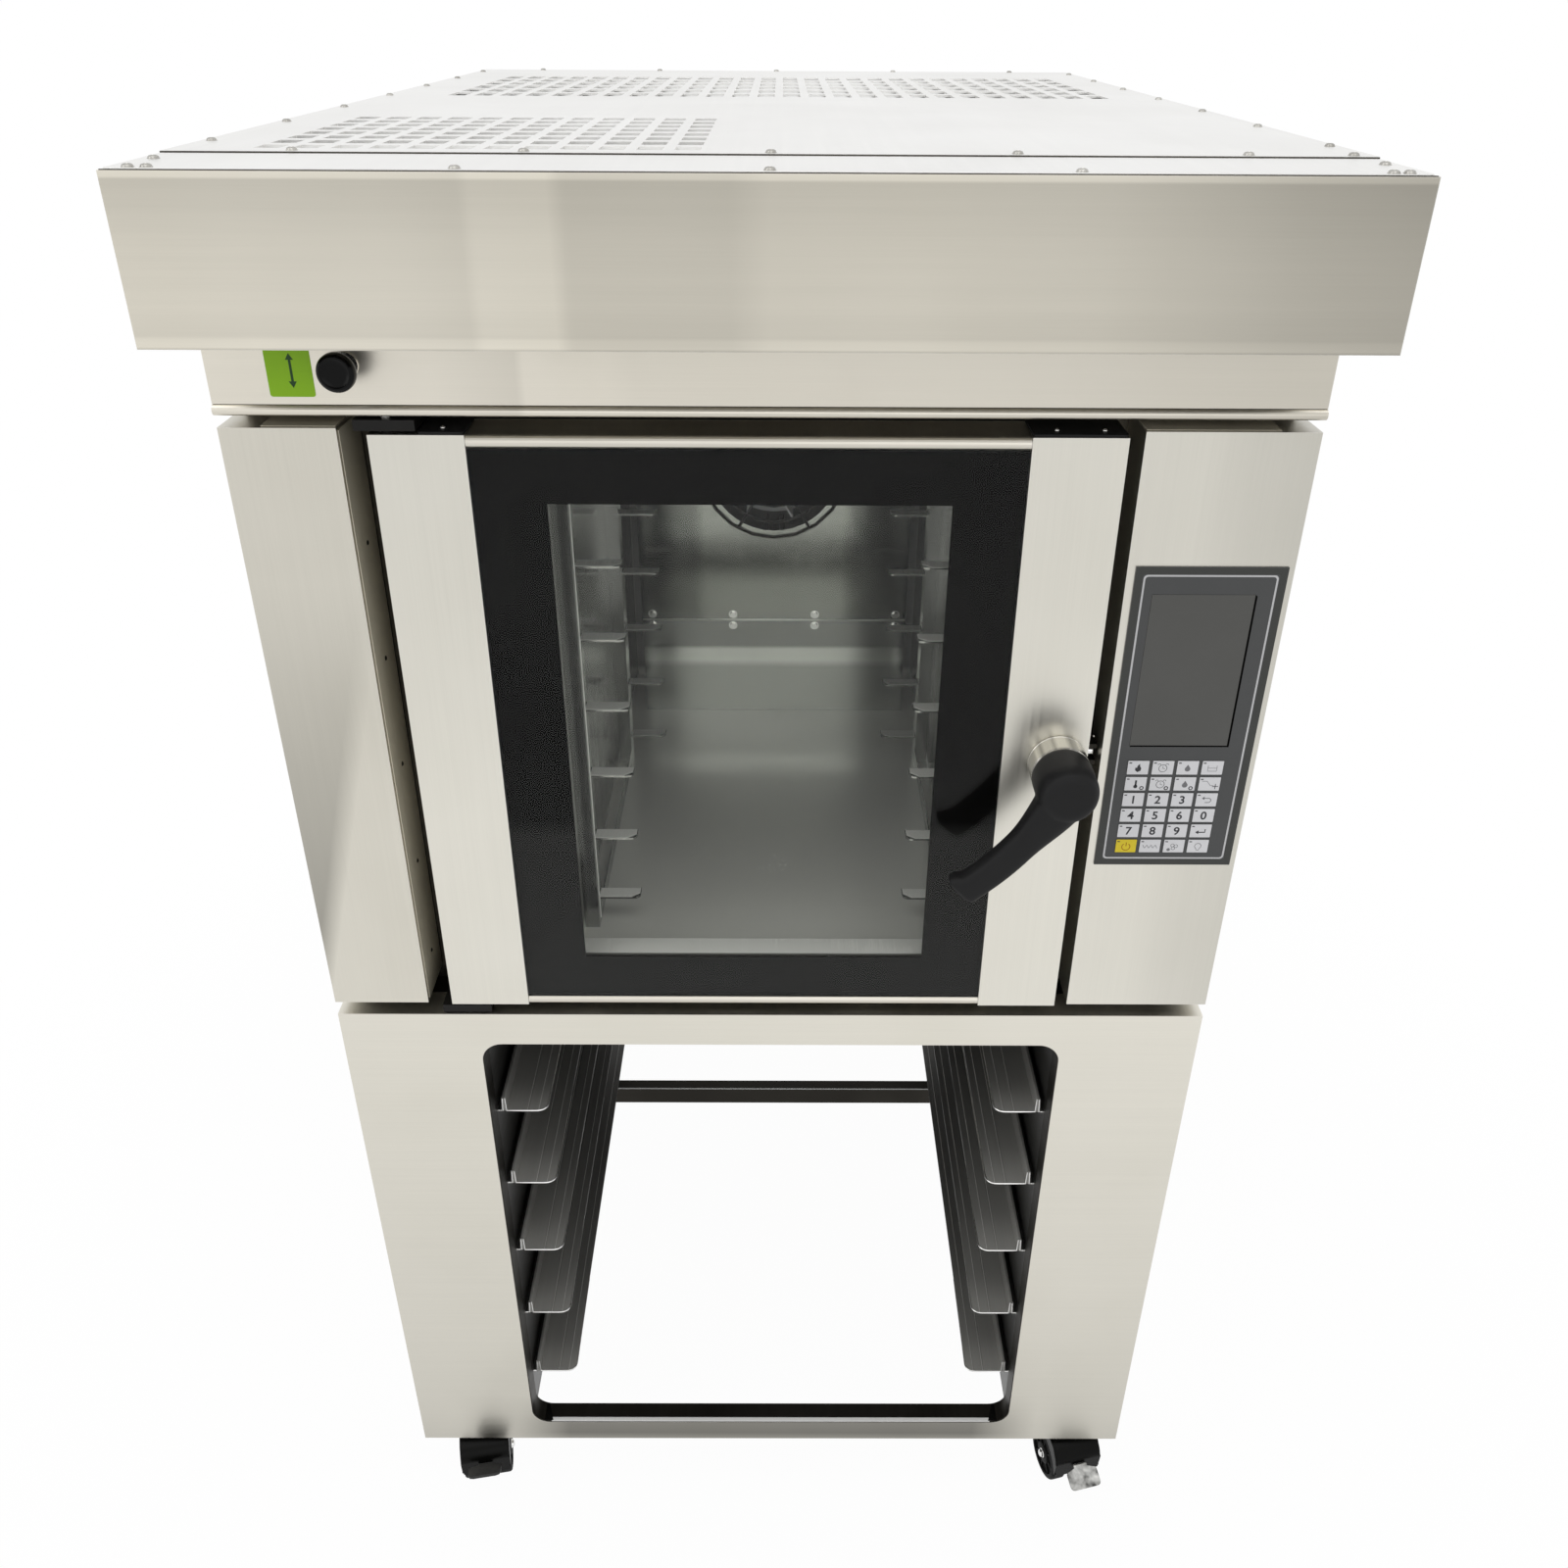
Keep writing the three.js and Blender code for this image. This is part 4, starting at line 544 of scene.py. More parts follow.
# -------------------- mesh tools
def ring(mesh, outline, matrix, z=0.0):
    """New vertices at an outline in local X and Y, at a local height."""
    return [mesh.verts.new(matrix @ Vector((x, y, z))) for x, y in outline]


def ring_faces(mesh, rings, loop=False):
    """Skins a list of vertex rings with quads, and caps the two ends."""
    faces = []
    for low, high in list(zip(rings, rings[1:])) + ([(rings[-1], rings[0])] if loop else []):
        for i in range(len(low)):
            j = (i + 1) % len(low)
            faces.append(mesh.faces.new((low[i], low[j], high[j], high[i])))
    if not loop:
        faces += [mesh.faces.new(rings[0][::-1]), mesh.faces.new(rings[-1])]
    return faces


def lathe(mesh, profile, matrix, sides=48):
    """A turned shape: `profile` holds (radius, height) and turns about local Z."""
    rings = [ring(mesh, circle(radius, sides) if radius else [(0, 0)], matrix, height)
             for radius, height in profile]
    for low, high in zip(rings, rings[1:]):
        for i in range(sides):
            j = (i + 1) % sides
            corners = low[i % len(low)], low[j % len(low)], high[j % len(high)], high[i % len(high)]
            unique = list(dict.fromkeys(corners))
            if len(unique) > 2:
                mesh.faces.new(unique)
    for end in (rings[0][::-1], rings[-1]):
        if len(end) > 1:
            mesh.faces.new(end)


def block(mesh, low, high, bevel=0.0):
    """A block between two corners with its edges softened."""
    made = bmesh.ops.create_cube(mesh, size=1.0)["verts"]
    size, centre = Vector(high) - Vector(low), (Vector(high) + Vector(low)) / 2
    bmesh.ops.transform(mesh, matrix=Matrix.Translation(centre) @ Matrix.Diagonal((*size, 1.0)), verts=made)
    if bevel:
        edges = list({edge for vert in made for edge in vert.link_edges})
        bmesh.ops.bevel(mesh, geom=edges, offset=bevel, segments=2, profile=0.6, affect="EDGES")


def prism(mesh, outline, depth, matrix, bevel=0.0, both=False):
    """An outline in local X and Y drawn out along local Z, with its far edge, or both, softened."""
    faces = ring_faces(mesh, [ring(mesh, outline, matrix), ring(mesh, outline, matrix, depth)])
    if bevel:
        edges = list(faces[-1].edges) + (list(faces[-2].edges) if both else [])
        bmesh.ops.bevel(mesh, geom=edges, offset=bevel, segments=3, affect="EDGES")


def tube(mesh, points, radius, sides=10, loop=False):
    """Round bar or wire along a line of points; `radius` may be a list."""
    spots = [Vector(point) for point in points]
    rings, side = [], None
    for index, spot in enumerate(spots):
        if loop:
            ahead = spots[(index + 1) % len(spots)] - spots[index - 1]
        else:
            ahead = spots[min(index + 1, len(spots) - 1)] - spots[max(index - 1, 0)]
        ahead.normalize()
        if side is None:
            side = ahead.orthogonal().normalized()
        side = (side - ahead * side.dot(ahead)).normalized()
        up = ahead.cross(side)
        size = radius[index] if isinstance(radius, list) else radius
        rings.append([mesh.verts.new(spot + side * x + up * y) for x, y in circle(size, sides)])
    ring_faces(mesh, rings, loop)


def plate_ring(mesh, outer, inner, depth, matrix):
    """A flat frame between two outlines with the same number of points, drawn out along local Z."""
    lines = ((outer, 0), (outer, depth), (inner, depth), (inner, 0))
    ring_faces(mesh, [ring(mesh, line, matrix, z) for line, z in lines], True)


def carve(mesh, *cutters):
    """Cuts shapes out of a mesh, each list of them in its own turn."""
    helpers = []
    for part in [mesh.copy()] + [built(shapes) for shapes in cutters]:
        bmesh.ops.recalc_face_normals(part, faces=part.faces)
        helpers.append(mesh_object("carving", part))
    for cutter in helpers[1:]:
        cut = helpers[0].modifiers.new("cut", "BOOLEAN")
        cut.operation, cut.solver, cut.object = "DIFFERENCE", "EXACT", cutter
    mesh.clear()
    mesh.from_mesh(frozen(helpers[0]).data)
    for helper in helpers:
        data = helper.data
        bpy.data.objects.remove(helper)
        bpy.data.meshes.remove(data)


def perforated(mesh, low, high, blocks):
    """A plate between two corners, less the slots of `blocks`, each their edges along X and along Y."""
    columns = sorted({low[0], high[0], *(x for across, _ in blocks for pair in across for x in pair)})
    rows = sorted({low[1], high[1], *(y for _, along in blocks for pair in along for y in pair)})
    level = {z: [[mesh.verts.new((x, y, z)) for x in columns] for y in rows] for z in (low[2], high[2])}
    width, length = len(columns) - 1, len(rows) - 1

    def is_open(i, j):
        if not (0 <= i < width and 0 <= j < length):
            return True
        x, y = (columns[i] + columns[i + 1]) / 2, (rows[j] + rows[j + 1]) / 2
        return any(any(a < x < b for a, b in across) and any(a < y < b for a, b in along)
                   for across, along in blocks)

    for i, j in ((i, j) for j in range(length) for i in range(width) if not is_open(i, j)):
        corners = ((i, j), (i + 1, j), (i + 1, j + 1), (i, j + 1))
        mesh.faces.new([level[high[2]][b][a] for a, b in corners])
        mesh.faces.new([level[low[2]][b][a] for a, b in reversed(corners)])
        for side, (di, dj) in enumerate(((0, -1), (1, 0), (0, 1), (-1, 0))):
            if is_open(i + di, j + dj):
                (a, b), (c, d) = corners[side], corners[(side + 1) % 4]
                mesh.faces.new([level[z][y][x] for x, y, z in (
                    (a, b, low[2]), (c, d, low[2]), (c, d, high[2]), (a, b, high[2]))])


# -------------------- fasteners
def pan_screw(mesh, point, direction, radius=4.0, roll=0.0, height=2.6):
    """Pan head with a washer edge and a cross recess."""
    profile = [(radius * share, z) for share, z in (
        (1.12, 0.0), (1.12, 0.45), (1, 0.55), (0.96, 1.5), (0.74, 2.25), (0.42, 2.6), (0.34, 2.6),
        (0.16, 1.6), (0, 1.5))]
    lathe(mesh, profile, facing(point, direction, roll) @ Matrix.Diagonal((1, 1, height / 2.6, 1)), 20)


def hex_bolt(mesh, point, direction, across, height, roll):
    """Hexagon head on a washer."""
    matrix, washer = facing(point, direction, roll), 0.8
    lathe(mesh, [(across * 0.82, 0.0), (across * 0.82, washer), (across * 0.6, washer)], matrix, 24)
    prism(mesh, circle(across / math.sqrt(3), 6), height - washer, matrix @ raised(washer), 0.35)


def rivet(mesh, point, direction, radius):
    profile = [(radius * share, z) for share, z in ((1, 0.0), (0.95, 0.5), (0.6, 1.1), (0.3, 1.2), (0, 0.9))]
    lathe(mesh, profile, facing(point, direction), 16)


# ==================== lid and canopy
def vents(first, pitch, width, count):
    """The two edges of each slot in a row of them."""
    return [(first + pitch * i, first + width + pitch * i) for i in range(count)]


VENTS = ((vents(-433, 32, 22, 12), vents(-622, 44, 28, 8)), (vents(-418, 33, 22, 26), vents(72, 83, 60, 6)))


def lid():
    """The lid's sheet with both blocks of vent holes, the deck that shows through them, and its screws."""
    piece("lid_sheet", LID, [(perforated, (-500, -650, LID_BOTTOM), (500, 770, LID_TOP), VENTS)],
          ("top_cover",), 30)
    piece("lid_deck", DECK, [(block, (-470, -640, 1790), (470, 740, 1791.5), 0.4),
          (block, (-470, -640, 1794.75), (470, -576, 1794.95))])
    screws = [((x, -640), 4.4, x * 0.3) for x in (-395, -204, 0, 204, 395, 482)]
    screws += [((x, -560 + step * 208), 4.2, step) for step in range(7) for x in (-490, 490)]
    screws += [((x, 757), 4.2, x) for x in (-400, -200, 0, 200, 400)]
    piece("lid_screws", LID_SCREW, [(pan_screw, (*spot, LID_TOP), UP, *turn) for spot, *turn in screws])
    # Painted shadow: dark strips in the gap between the lid and the canopy's top strip.
    piece("lid_front_shadow_gap", FRAME_STEEL, [(block, (-499.5, -651.4, 1795.1), (499.5, -650.2, 1797.2)),
          (block, (-497, -655.4, 1795.1), (497, -654.6, 1796.7))])


def canopy_trim():
    """The canopy's top strip, the dark seam in front of it, and its screws."""
    foot, thickness = 1795.2, 1.2
    strip = rounded(-497.5, -767.5, 497.5, -651.5, 5)
    piece("canopy_top_strip", LID, [(prism, strip, thickness, raised(foot), 0.3)])
    piece("canopy_top_seam", FRAME_STEEL, [(block, (-498.6, -769.0, 1795.0), (498.6, -767.6, 1795.7))])
    top = foot + thickness
    screws = [(pan_screw, (x, -761, top), UP, 4.4, x) for x in (-480, -466, -236, 0, 234, 468, 480)]
    screws += [(pan_screw, (x, -700, top), UP, 4.4, 1.0) for x in (-485, 485)]
    piece("canopy_screws", LID_SCREW, screws)


# ==================== handle
LEVER = {"angle": 131, "length": 157, "root": 50, "width": 32.5, "thickness": 24, "rise": 8, "bow": 12,
         "taper": 0.5, "flare": 6, "cut": 3}
BOSS_LENGTH, GRIP_VOXEL = 53, 0.0013        # millimetres and metres


def ease(value, start, end):
    share = min(max((value - start) / (end - start), 0.0), 1.0)
    return share * share * (3 - 2 * share)


def lever_ring(share):
    """The arm's section at a share of its length: broad at the boss, slim at the grip, a lip at the end."""
    narrow = ease(share, 0.0, LEVER["taper"])
    width = LEVER["root"] + (LEVER["width"] - LEVER["root"]) * narrow
    face = -BOSS_LENGTH + 1 + LEVER["rise"] * narrow
    thickness = LEVER["thickness"] * (1.5 - 0.5 * narrow)
    bow = LEVER["bow"] * math.sin(math.pi * 0.85 * max(share, 0.0))
    lip = LEVER["flare"] * ease(share, 0.90, 0.94)
    cut = LEVER["cut"] * ease(share, 0.84, 0.90)
    shrink = 1.0 - 0.3 * max(share - 0.975, 0.0) / 0.025
    points = []
    for point in circle(1.0, 40):
        across, out = (math.copysign(abs(v) ** 0.6, v) * shrink for v in point)
        offset = across * width / 2 + max(across, 0.0) * lip
        along = share * LEVER["length"] - cut * across / 2
        points.append((along, face + thickness / 2 * (1 + out), bow - offset))
    return points


def lever(mesh):
    """A round boss over the rosette, an elbow, and a bowed arm that ends in a small lip."""
    hub = Matrix.Translation((HANDLE[0], BOSS_BACK, HANDLE[1]))
    lathe(mesh, [(0, 0), (29.6, 0), (30.6, 1.2), (31, 4), (31, 36), (30.2, 42), (27.6, 48.5), (24, 51.2),
                 (19, 52.6), (0, BOSS_LENGTH)], hub @ facing((0, 0, 0), TOWARD), 72)
    turn = hub @ turned(LEVER["angle"], "Y")
    shares = [-0.08 + 0.045 * i for i in range(21)] + [0.9, 0.92, 0.94, 0.96, 0.975, 0.985, 0.994, 1.0]
    ring_faces(mesh, [[mesh.verts.new(turn @ Vector(point)) for point in lever_ring(share)]
                      for share in shares])


def handle():
    """The lever blended into its boss, the rosette on the door, and the spindle."""
    grip = piece("handle_lever_grip", PLASTIC, [(lever,)], ("handle_lever",), 180, "handle")
    skin = grip.modifiers.new("skin", "REMESH")
    skin.mode, skin.voxel_size, skin.use_smooth_shade = "VOXEL", GRIP_VOXEL, True
    blend = grip.modifiers.new("blend", "SMOOTH")
    blend.factor, blend.iterations = 0.6, 9
    frozen(grip)
    length = ROSETTE[1] - ROSETTE[0]
    profile = [(9, 0.1), (30, 0.1), (30.5, 0.7), (30.5, 2.2), (29.9, 2.7), (30.4, 3.2), (30.5, length - 2),
               (29.4, length - 0.3), (28, length), (9, length)]
    matrix = facing((HANDLE[0], ROSETTE[1], HANDLE[1]), TOWARD)
    piece("handle_rosette", TURNED, [(lathe, profile, matrix, 96)],
          ("handle_escutcheon",), 30, "door")
    matrix = facing((HANDLE[0], -634, HANDLE[1]), TOWARD, math.pi / 4)
    piece("handle_spindle", ZINC, [(prism, rounded(-5, -5, 5, 5, 1), 44, matrix)], body="handle")


# ==================== door edges and latch gap
def door_trim():
    """Black caps on the stiles with their screws, the bracket pins, and the screws beside the latch."""
    caps = [(prism, rounded(x0, -648.6, x1, -594, 3), 2.4, raised(1564.2), 0.5)
            for x0, x1 in ((-320.5, -278.8), (238.8, 325.2))]
    piece("stile_caps", PLASTIC, caps, body="door")
    screws = [(pan_screw, (x, -634, 1566.6), UP, 2.6, x, 1.6) for x in (-300, 262, 306)]
    piece("stile_cap_screws", SCREW, screws, body="door")
    pin = [(5.4, 0), (5.4, 1.4), (4.6, 2.4), (0, 2.7)]
    piece("hinge_pin_heads", SCREW, [(lathe, pin, facing((-350, -635, z), (0, 0, up)), 28)
          for z, up in ((1577.1, 1), (892.9, -1))])
    tips = [(rivet, (x, -640, 1580.9), (0, 0, -1), 1.8) for x in (-296, -262, -236, -214, 214)]
    tips += [(rivet, (333.5, -634.4, HANDLE[1] + 22 * side), TOWARD, 1.3) for side in SIDES]
    piece("front_rivets", SCREW, tips)


def column_returns():
    """The left column's folded, riveted return in the gap by the door, and painted shade on both columns'
    tops.
    """
    piece("column_return", RETURN_STEEL, [(block, (-392.8, -646, 912), (-391.6, -582, 1567), 0.3)])
    rivets = [(rivet, (-391.5, -615, 1449 - 123 * step), (1, 0, 0), 2.6) for step in range(5)]
    piece("column_return_rivets", SHADED_STEEL, rivets)
    tops = [(block, (x0, -646, 1570.2), (x1, -581, 1571.0), 0.2) for x0, x1 in ((-462, -394), (341, 464))]
    piece("column_top_shades", RETURN_STEEL, tops)


# ==================== stand
def runner_edges():
    """Painted highlights along the cut edge round each runner's front, and along the fold lines."""
    edges, folds = [], []
    for side in SIDES:
        for top in RUNNER_TOPS:
            def at(inward, y, z):
                return side * (RUNNER_WALL - inward), y, z
            y, z, lip = RUNNER_FRONT - 0.3, top - 0.6, top + 20
            path = [at(0.8, y, z), at(7, y, z), at(8, y, lip), at(11, y, lip), at(12, y, z), at(30, y, z)]
            path += curve(at(48, y, z), at(62.3, y, z), at(62.3, y + 14, z), 8)
            path += [at(62.3, y + 60, z), at(62.3, y + 160, z)]
            edges.append((tube, path, [1.15] * (len(path) - 2) + [0.7, 0.2], 8))
            folds += [(tube, [at(inward, RUNNER_FRONT + 1, top + 0.1), at(inward, 180, top + 0.1)], 0.55, 6)
                      for inward in (38, 52)]
    piece("runner_edge_highlights", EDGE_HIGHLIGHT, edges)
    piece("runner_fold_highlights", FOLD_HIGHLIGHT, folds)


def bay_trim():
    """Inside the stand's opening: painted shade on the turned-in edge, a painted lip highlight, corner
    plates, rail edge.
    """
    outer, inner = (rounded(-x, z, x, top, radius, 8) for x, z, top, radius in (
        (339.7, 140.3, 845.7, 24.7), (339.1, 140.9, 845.1, 24.1)))
    piece("bay_shade_lining", SHADED_STEEL, [(plate_ring, outer, inner, 28, front_sheet(0, -620.4, 0))])
    piece("bay_lip_highlight", PAINTED_LIGHT, [(block, (-314, -649.6, 141.0), (314, -643.4, 142.0), 0.3)])
    corners = []
    for side in SIDES:
        points = [(side * 338, -648.5), (side * 338, -622), (side * 320, -622), (side * 312, -648.5)]
        corners.append((prism, points[::side], 1.5, raised(141.2), 0.3))
    piece("bay_corner_plates", HOUSING, corners)
    piece("mid_rail_edge", ZINC, [(tube, [(-379, 34.8, 141.2), (379, 34.8, 141.2)], 0.9, 8)])


# ==================== castors
ALONG_LOCAL_X = Matrix(((0, 0, 1, 0), (1, 0, 0, 0), (0, 1, 0, 0), (0, 0, 0, 1)))
AXLE_NUT = [(6.8, 32.5), (6.8, 34.6), (6.2, 35.2), (5.6, 35.4), (5.4, 37.2), (4.2, 38.6), (2.2, 39.3),
            (0, 39.5)]
PEDAL_HINGE = (0, 84.8, 65.5)


def castor_hood(mesh):
    """Housing with its wheels trailing along Y: web, hood over both wheels, head and stem."""
    outline = [(-24, 95.7), (-24, 84.7), (22, 31.5)] + arc(WHEEL_TRAIL, WHEEL_RADIUS, 14, 207, 351, 8)
    outline += [(80.5, 45.5), (80.5, 69.5)] + curve((80.5, 72), (74.5, 94.7), (34, 95.7), 8)
    prism(mesh, outline, 2 * HOOD_HALF, Matrix.Translation((-HOOD_HALF, 0, 0)) @ ALONG_LOCAL_X, 2.2, True)
    wells = []
    for side in SIDES:
        inner, outer = sorted((side * 11.0, side * 40.0))
        wells += [[(lathe, [(41.5, 11.0), (41.5, 40.0)], facing(AXLE, (side, 0, 0)))],
                  [(block, (inner, -11.5, -5), (outer, 83.5, 45.5))]]
    carve(mesh, *wells)
    lathe(mesh, [(0, 94.4), (24, 94.4), (26, 95.4), (26, 99.2), (23.6, 99.8), (23.6, 100.6), (26, 101.2),
                 (26, 102.4), (25, 102.7), (6, 102.7), (6, 120.7), (0, 120.7)], Matrix(), 40)
    for side in SIDES:
        block(mesh, (side * 22 - 9, 30, 93.2), (side * 22 + 9, 58, 95.4), 0.8)
        rim = arc(WHEEL_TRAIL, WHEEL_RADIUS, 44.2, 14, 114, 10)
        tube(mesh, [(side * 33.6, y, z) for y, z in rim], 1.5, 8)


def castor_wheels(mesh):
    """Both wheels about local X at the axle: tread with rounded shoulders, dished hub with ribs."""
    for side in SIDES:
        outward = facing(AXLE, (side, 0, 0))
        lathe(mesh, [(0, 12.4), (33, 12.4), (35.8, 13), (37.2, 14.8), (37.5, 17.5), (37.5, 29), (37.2, 31.6),
                     (35.8, 33.4), (33, 34.1), (30.6, 34.1), (29.6, 33), (29.6, 31), (27, 30), (17, 30),
                     (15.6, 31), (15.2, 33.4), (13.6, 34.1), (7.4, 34.1), (7, 32.4), (0, 32.4)], outward, 64)
        for spoke in range(8):
            prism(mesh, [(15, -1.1), (30, -1.1), (30, 1.1), (15, 1.1)], 3.0,
                  outward @ turned(45 * spoke) @ raised(29.6), 0.4)
    lathe(mesh, [(4, -12.6), (4, 12.6)], facing(AXLE, (1, 0, 0)), 20)


def castor_pedal(mesh):
    """Brake pedal about its hinge: knuckle, short neck, and a broad tread plate with a turned-down rim."""
    plan = [(-10, 0), (10, 0), (10, 3), (21, 5), (23, 8), (23, 23)] + curve((23, 24), (23, 30), (16, 30), 5)
    plan += [(-x, y) for x, y in reversed(plan[2:])]
    prism(mesh, plan, 3.0, raised(1.0), 0.8, True)
    tube(mesh, [(-10, 0, 0), (10, 0, 0)], 4.0, 20)
    rim = [(21.5, 9, 1.6), (21.5, 23, 1.4), (20, 27.4, 1.2), (15.5, 28.6, 1.0)]
    tube(mesh, [(-x, y, z) for x, y, z in rim] + rim[::-1], 1.5, 8)


def castors():
    """Each castor's hood and bright swivel race, its wheels with their axle nuts, and its brake pedal."""
    race = [(tube, [(x, y, 100.2) for x, y in circle(24.4, 36)], 0.7, 8, True)]
    nuts = [(lathe, AXLE_NUT, facing(AXLE, (side, 0, 0)), 32) for side in SIDES]
    for corner, (x, y, turn, tilt) in CASTORS.items():
        stand = Matrix.Translation((x, y, 0)) @ turned(turn)
        for name, finish, shapes, slot, node, body in (
                ("castor_hood_", HOUSING, [(castor_hood,)], "black_plastic", "castor_fork_", "castor_"),
                ("castor_race_", SCREW, race, None, None, "castor_"),
                ("castor_tread_", TYRE, [(castor_wheels,)], "castor_tyre", "castor_wheel_", "wheel_"),
                ("castor_nuts_", CHROME, nuts, None, None, "wheel_")):
            replaces = (node + corner,) if node else ()
            piece(name + corner, finish, shapes, replaces, 32, body + corner, stand)
        if tilt is not None:
            node = "castor_brake_" + corner
            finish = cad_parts[node].data.materials[0]
            piece("brake_pedal_" + corner, finish, [(castor_pedal,)], (node,), 32,
                  "brake_" + corner, stand @ Matrix.Translation(PEDAL_HINGE) @ turned(tilt, "X"))


# ==================== steam damper
def damper():
    """The turned knob, the collar round its rod, and the green patch with its double arrow."""
    knob = [(0, -2), (4.4, -2), (4.4, 0), (8.4, 0), (9.4, 0.8), (10.2, 4), (13.0, 8.5), (16.4, 11.5),
            (17.0, 13.2), (17.0, 17.8), (16.2, 20.2), (14.2, 21.8), (12.6, 21.9), (11.6, 21.2), (9, 20.7),
            (4, 20.5), (0, 20.5)]
    matrix = facing((DAMPER[0], -663, DAMPER[1]), TOWARD)
    piece("damper_knob_turned", KNOB_PLASTIC, [(lathe, knob, matrix, 64)],
          ("damper_knob",), 30, "damper")
    collar = [(4.6, 0), (11, 0), (11.6, 0.5), (11.2, 2.0), (4.6, 2.2)]
    piece("damper_collar", SCREW, [(lathe, collar, facing((DAMPER[0], -650.2, DAMPER[1]), TOWARD), 40)])
    patch = rounded(-446.0, 1598, -405.5, 1664, 2.5)
    piece("damper_patch", PATCH, [(prism, patch, 0.25, front_sheet(0, -650.05, 0))])
    arrow = [(0, -1.6), (13, -1.6), (13, -5), (21, 0), (13, 5), (13, 1.6), (0, 1.6)]
    piece("damper_patch_arrow", PATCH_INK, [
        (prism, arrow, 0.12, front_sheet(-424, -650.3, 1621) @ turned(turn) @ Matrix.Scale(0.72, 4))
        for turn in (90, 270)])


# ==================== keypad
FIRST_KEY, KEY_PITCH, KEY_SIZE = (20, 16), (25.6, 19.2), (22.1, 16.2)
KEY_SPOTS = [(column, row) for column in range(4) for row in range(6)]
POWER_KEY = (0, 0)
DIGIT_SIZE, DIGIT_BOLDNESS = 0.0132, 0.00028        # metres
# Signs about the middle of a key, as strokes: a width, or 0 for a filled shape, and its points.
SIGNS = {
    "clock": [(0.7, arc(0, 0, 4.2, 0, 360)), (0.6, [(0, 2.6), (0, 0), (2.2, -0.6)]),
              (0.6, arc(-4.0, 4.0, 1.4, 0, 180, 8)), (0.6, arc(4.0, 4.0, 1.4, 0, 180, 8))],
    "flame": [(0, [(-0.4, -4.6), (2.8, -3.0), (3.2, 0), (1.7, 2.6), (1.4, 5.4), (-0.8, 2.6), (-1.4, 0.2),
                   (-2.8, 1.2), (-3.0, -2.2)])],
    "drop": [(0, [(0, 4.4)] + arc(0, -0.8, 2.9, 20, -200, 14))],
    "basket": [(0.6, [(-4.6, 3.2), (-4.6, -3.2), (4.6, -3.2), (4.6, 3.2)]), (0.5, [(-4.6, 0.4), (4.6, 0.4)])],
    "thermometer": [(0, arc(0, -2.6, 2.1, 0, 360, 14)[:-1]),
                    (0, [(-1.0, -2), (1.0, -2), (1.0, 4.8), (-1.0, 4.8)])],
    "small_ring": [(1.1, arc(6.6, -4.4, 1.8, 0, 360, 14))],
    "slope_plus": [(0.5, [(-8, 4), (-3, 4), (1, -1), (4.4, -1)]), (1.0, [(6.4, -5.4), (6.4, 0.8)]),
                   (1.0, [(3.2, -2.3), (9.6, -2.3)])],
    "back_arrow": [(0.8, [(-3, 2.6), (2, 2.6)] + arc(2, 0, 2.6, 80, -80, 8) + [(-1.5, -2.6)]),
                   (0, [(-5.2, 2.6), (-2.4, 4.6), (-2.4, 0.6)])],
    "enter_arrow": [(1.3, [(4.6, 2.8), (4.6, -1), (-2.6, -1)]), (0, [(-5.6, -1), (-2.2, 1.4), (-2.2, -3.4)])],
    "power": [(0.9, arc(0, -0.4, 4.3, 125, 415, 24)), (0.9, [(0, 0.4), (0, 5.0)])],
    "wave": [(0.6, [(x / 2, 1.7 * math.sin(x * 0.7)) for x in range(-16, 17)])],
    "fan": [(0.6, [Matrix.Rotation(math.radians(turn), 2) @ Vector(point)
                   for point in arc(2.1, 0.6, 1.9, 0, 360, 12)]) for turn in (0, 120, 240)]
           + [(0, arc(-5.4, -3.8, 1.9, 0, 360, 12)[:-1])],
    "bulb": [(0.6, arc(0, 0.8, 3.4, -55, 235, 18)),
             (0.6, [(-1.8, -2.0), (-1.3, -4.2), (1.3, -4.2), (1.8, -2.0)])],
    "tick": [(0, [(-9.8, 5.6), (-7.0, 5.6), (-7.0, 6.8), (-9.8, 6.8)])],
}
DARK_SIGNS = [((0, 5), "flame"), ((0, 4), "thermometer"), ((3, 1), "enter_arrow")]
DARK_SIGNS += [((column, 4), "small_ring") for column in range(3)] + [(spot, "tick") for spot in KEY_SPOTS]
PALE_SIGNS = [((1, 5), "clock"), ((2, 5), "drop"), ((3, 5), "basket"), ((1, 4), "clock"), ((2, 4), "drop"),
              ((3, 4), "slope_plus"), ((3, 3), "back_arrow"), ((1, 0), "wave"), ((2, 0), "fan"),
              ((3, 0), "bulb")]
DIGITS = ((3, "123"), (2, "4560"), (1, "789"))


def stroke(mesh, matrix, width, points):
    """A drawn line of one width that lies on a key, or a filled shape where the width is 0."""
    if not width:
        mesh.faces.new(ring(mesh, points, matrix))
        return
    spots, edges = [Vector(point) for point in points], []
    for index, spot in enumerate(spots):
        before, after = spots[max(index - 1, 0)], spots[min(index + 1, len(spots) - 1)]
        ahead = (after - before).normalized()
        normal = Vector((-ahead.y, ahead.x)) * width / 2
        edges.append(ring(mesh, (spot + normal, spot - normal), matrix))
    for (a, b), (c, d) in zip(edges, edges[1:]):
        mesh.faces.new((a, b, d, c))


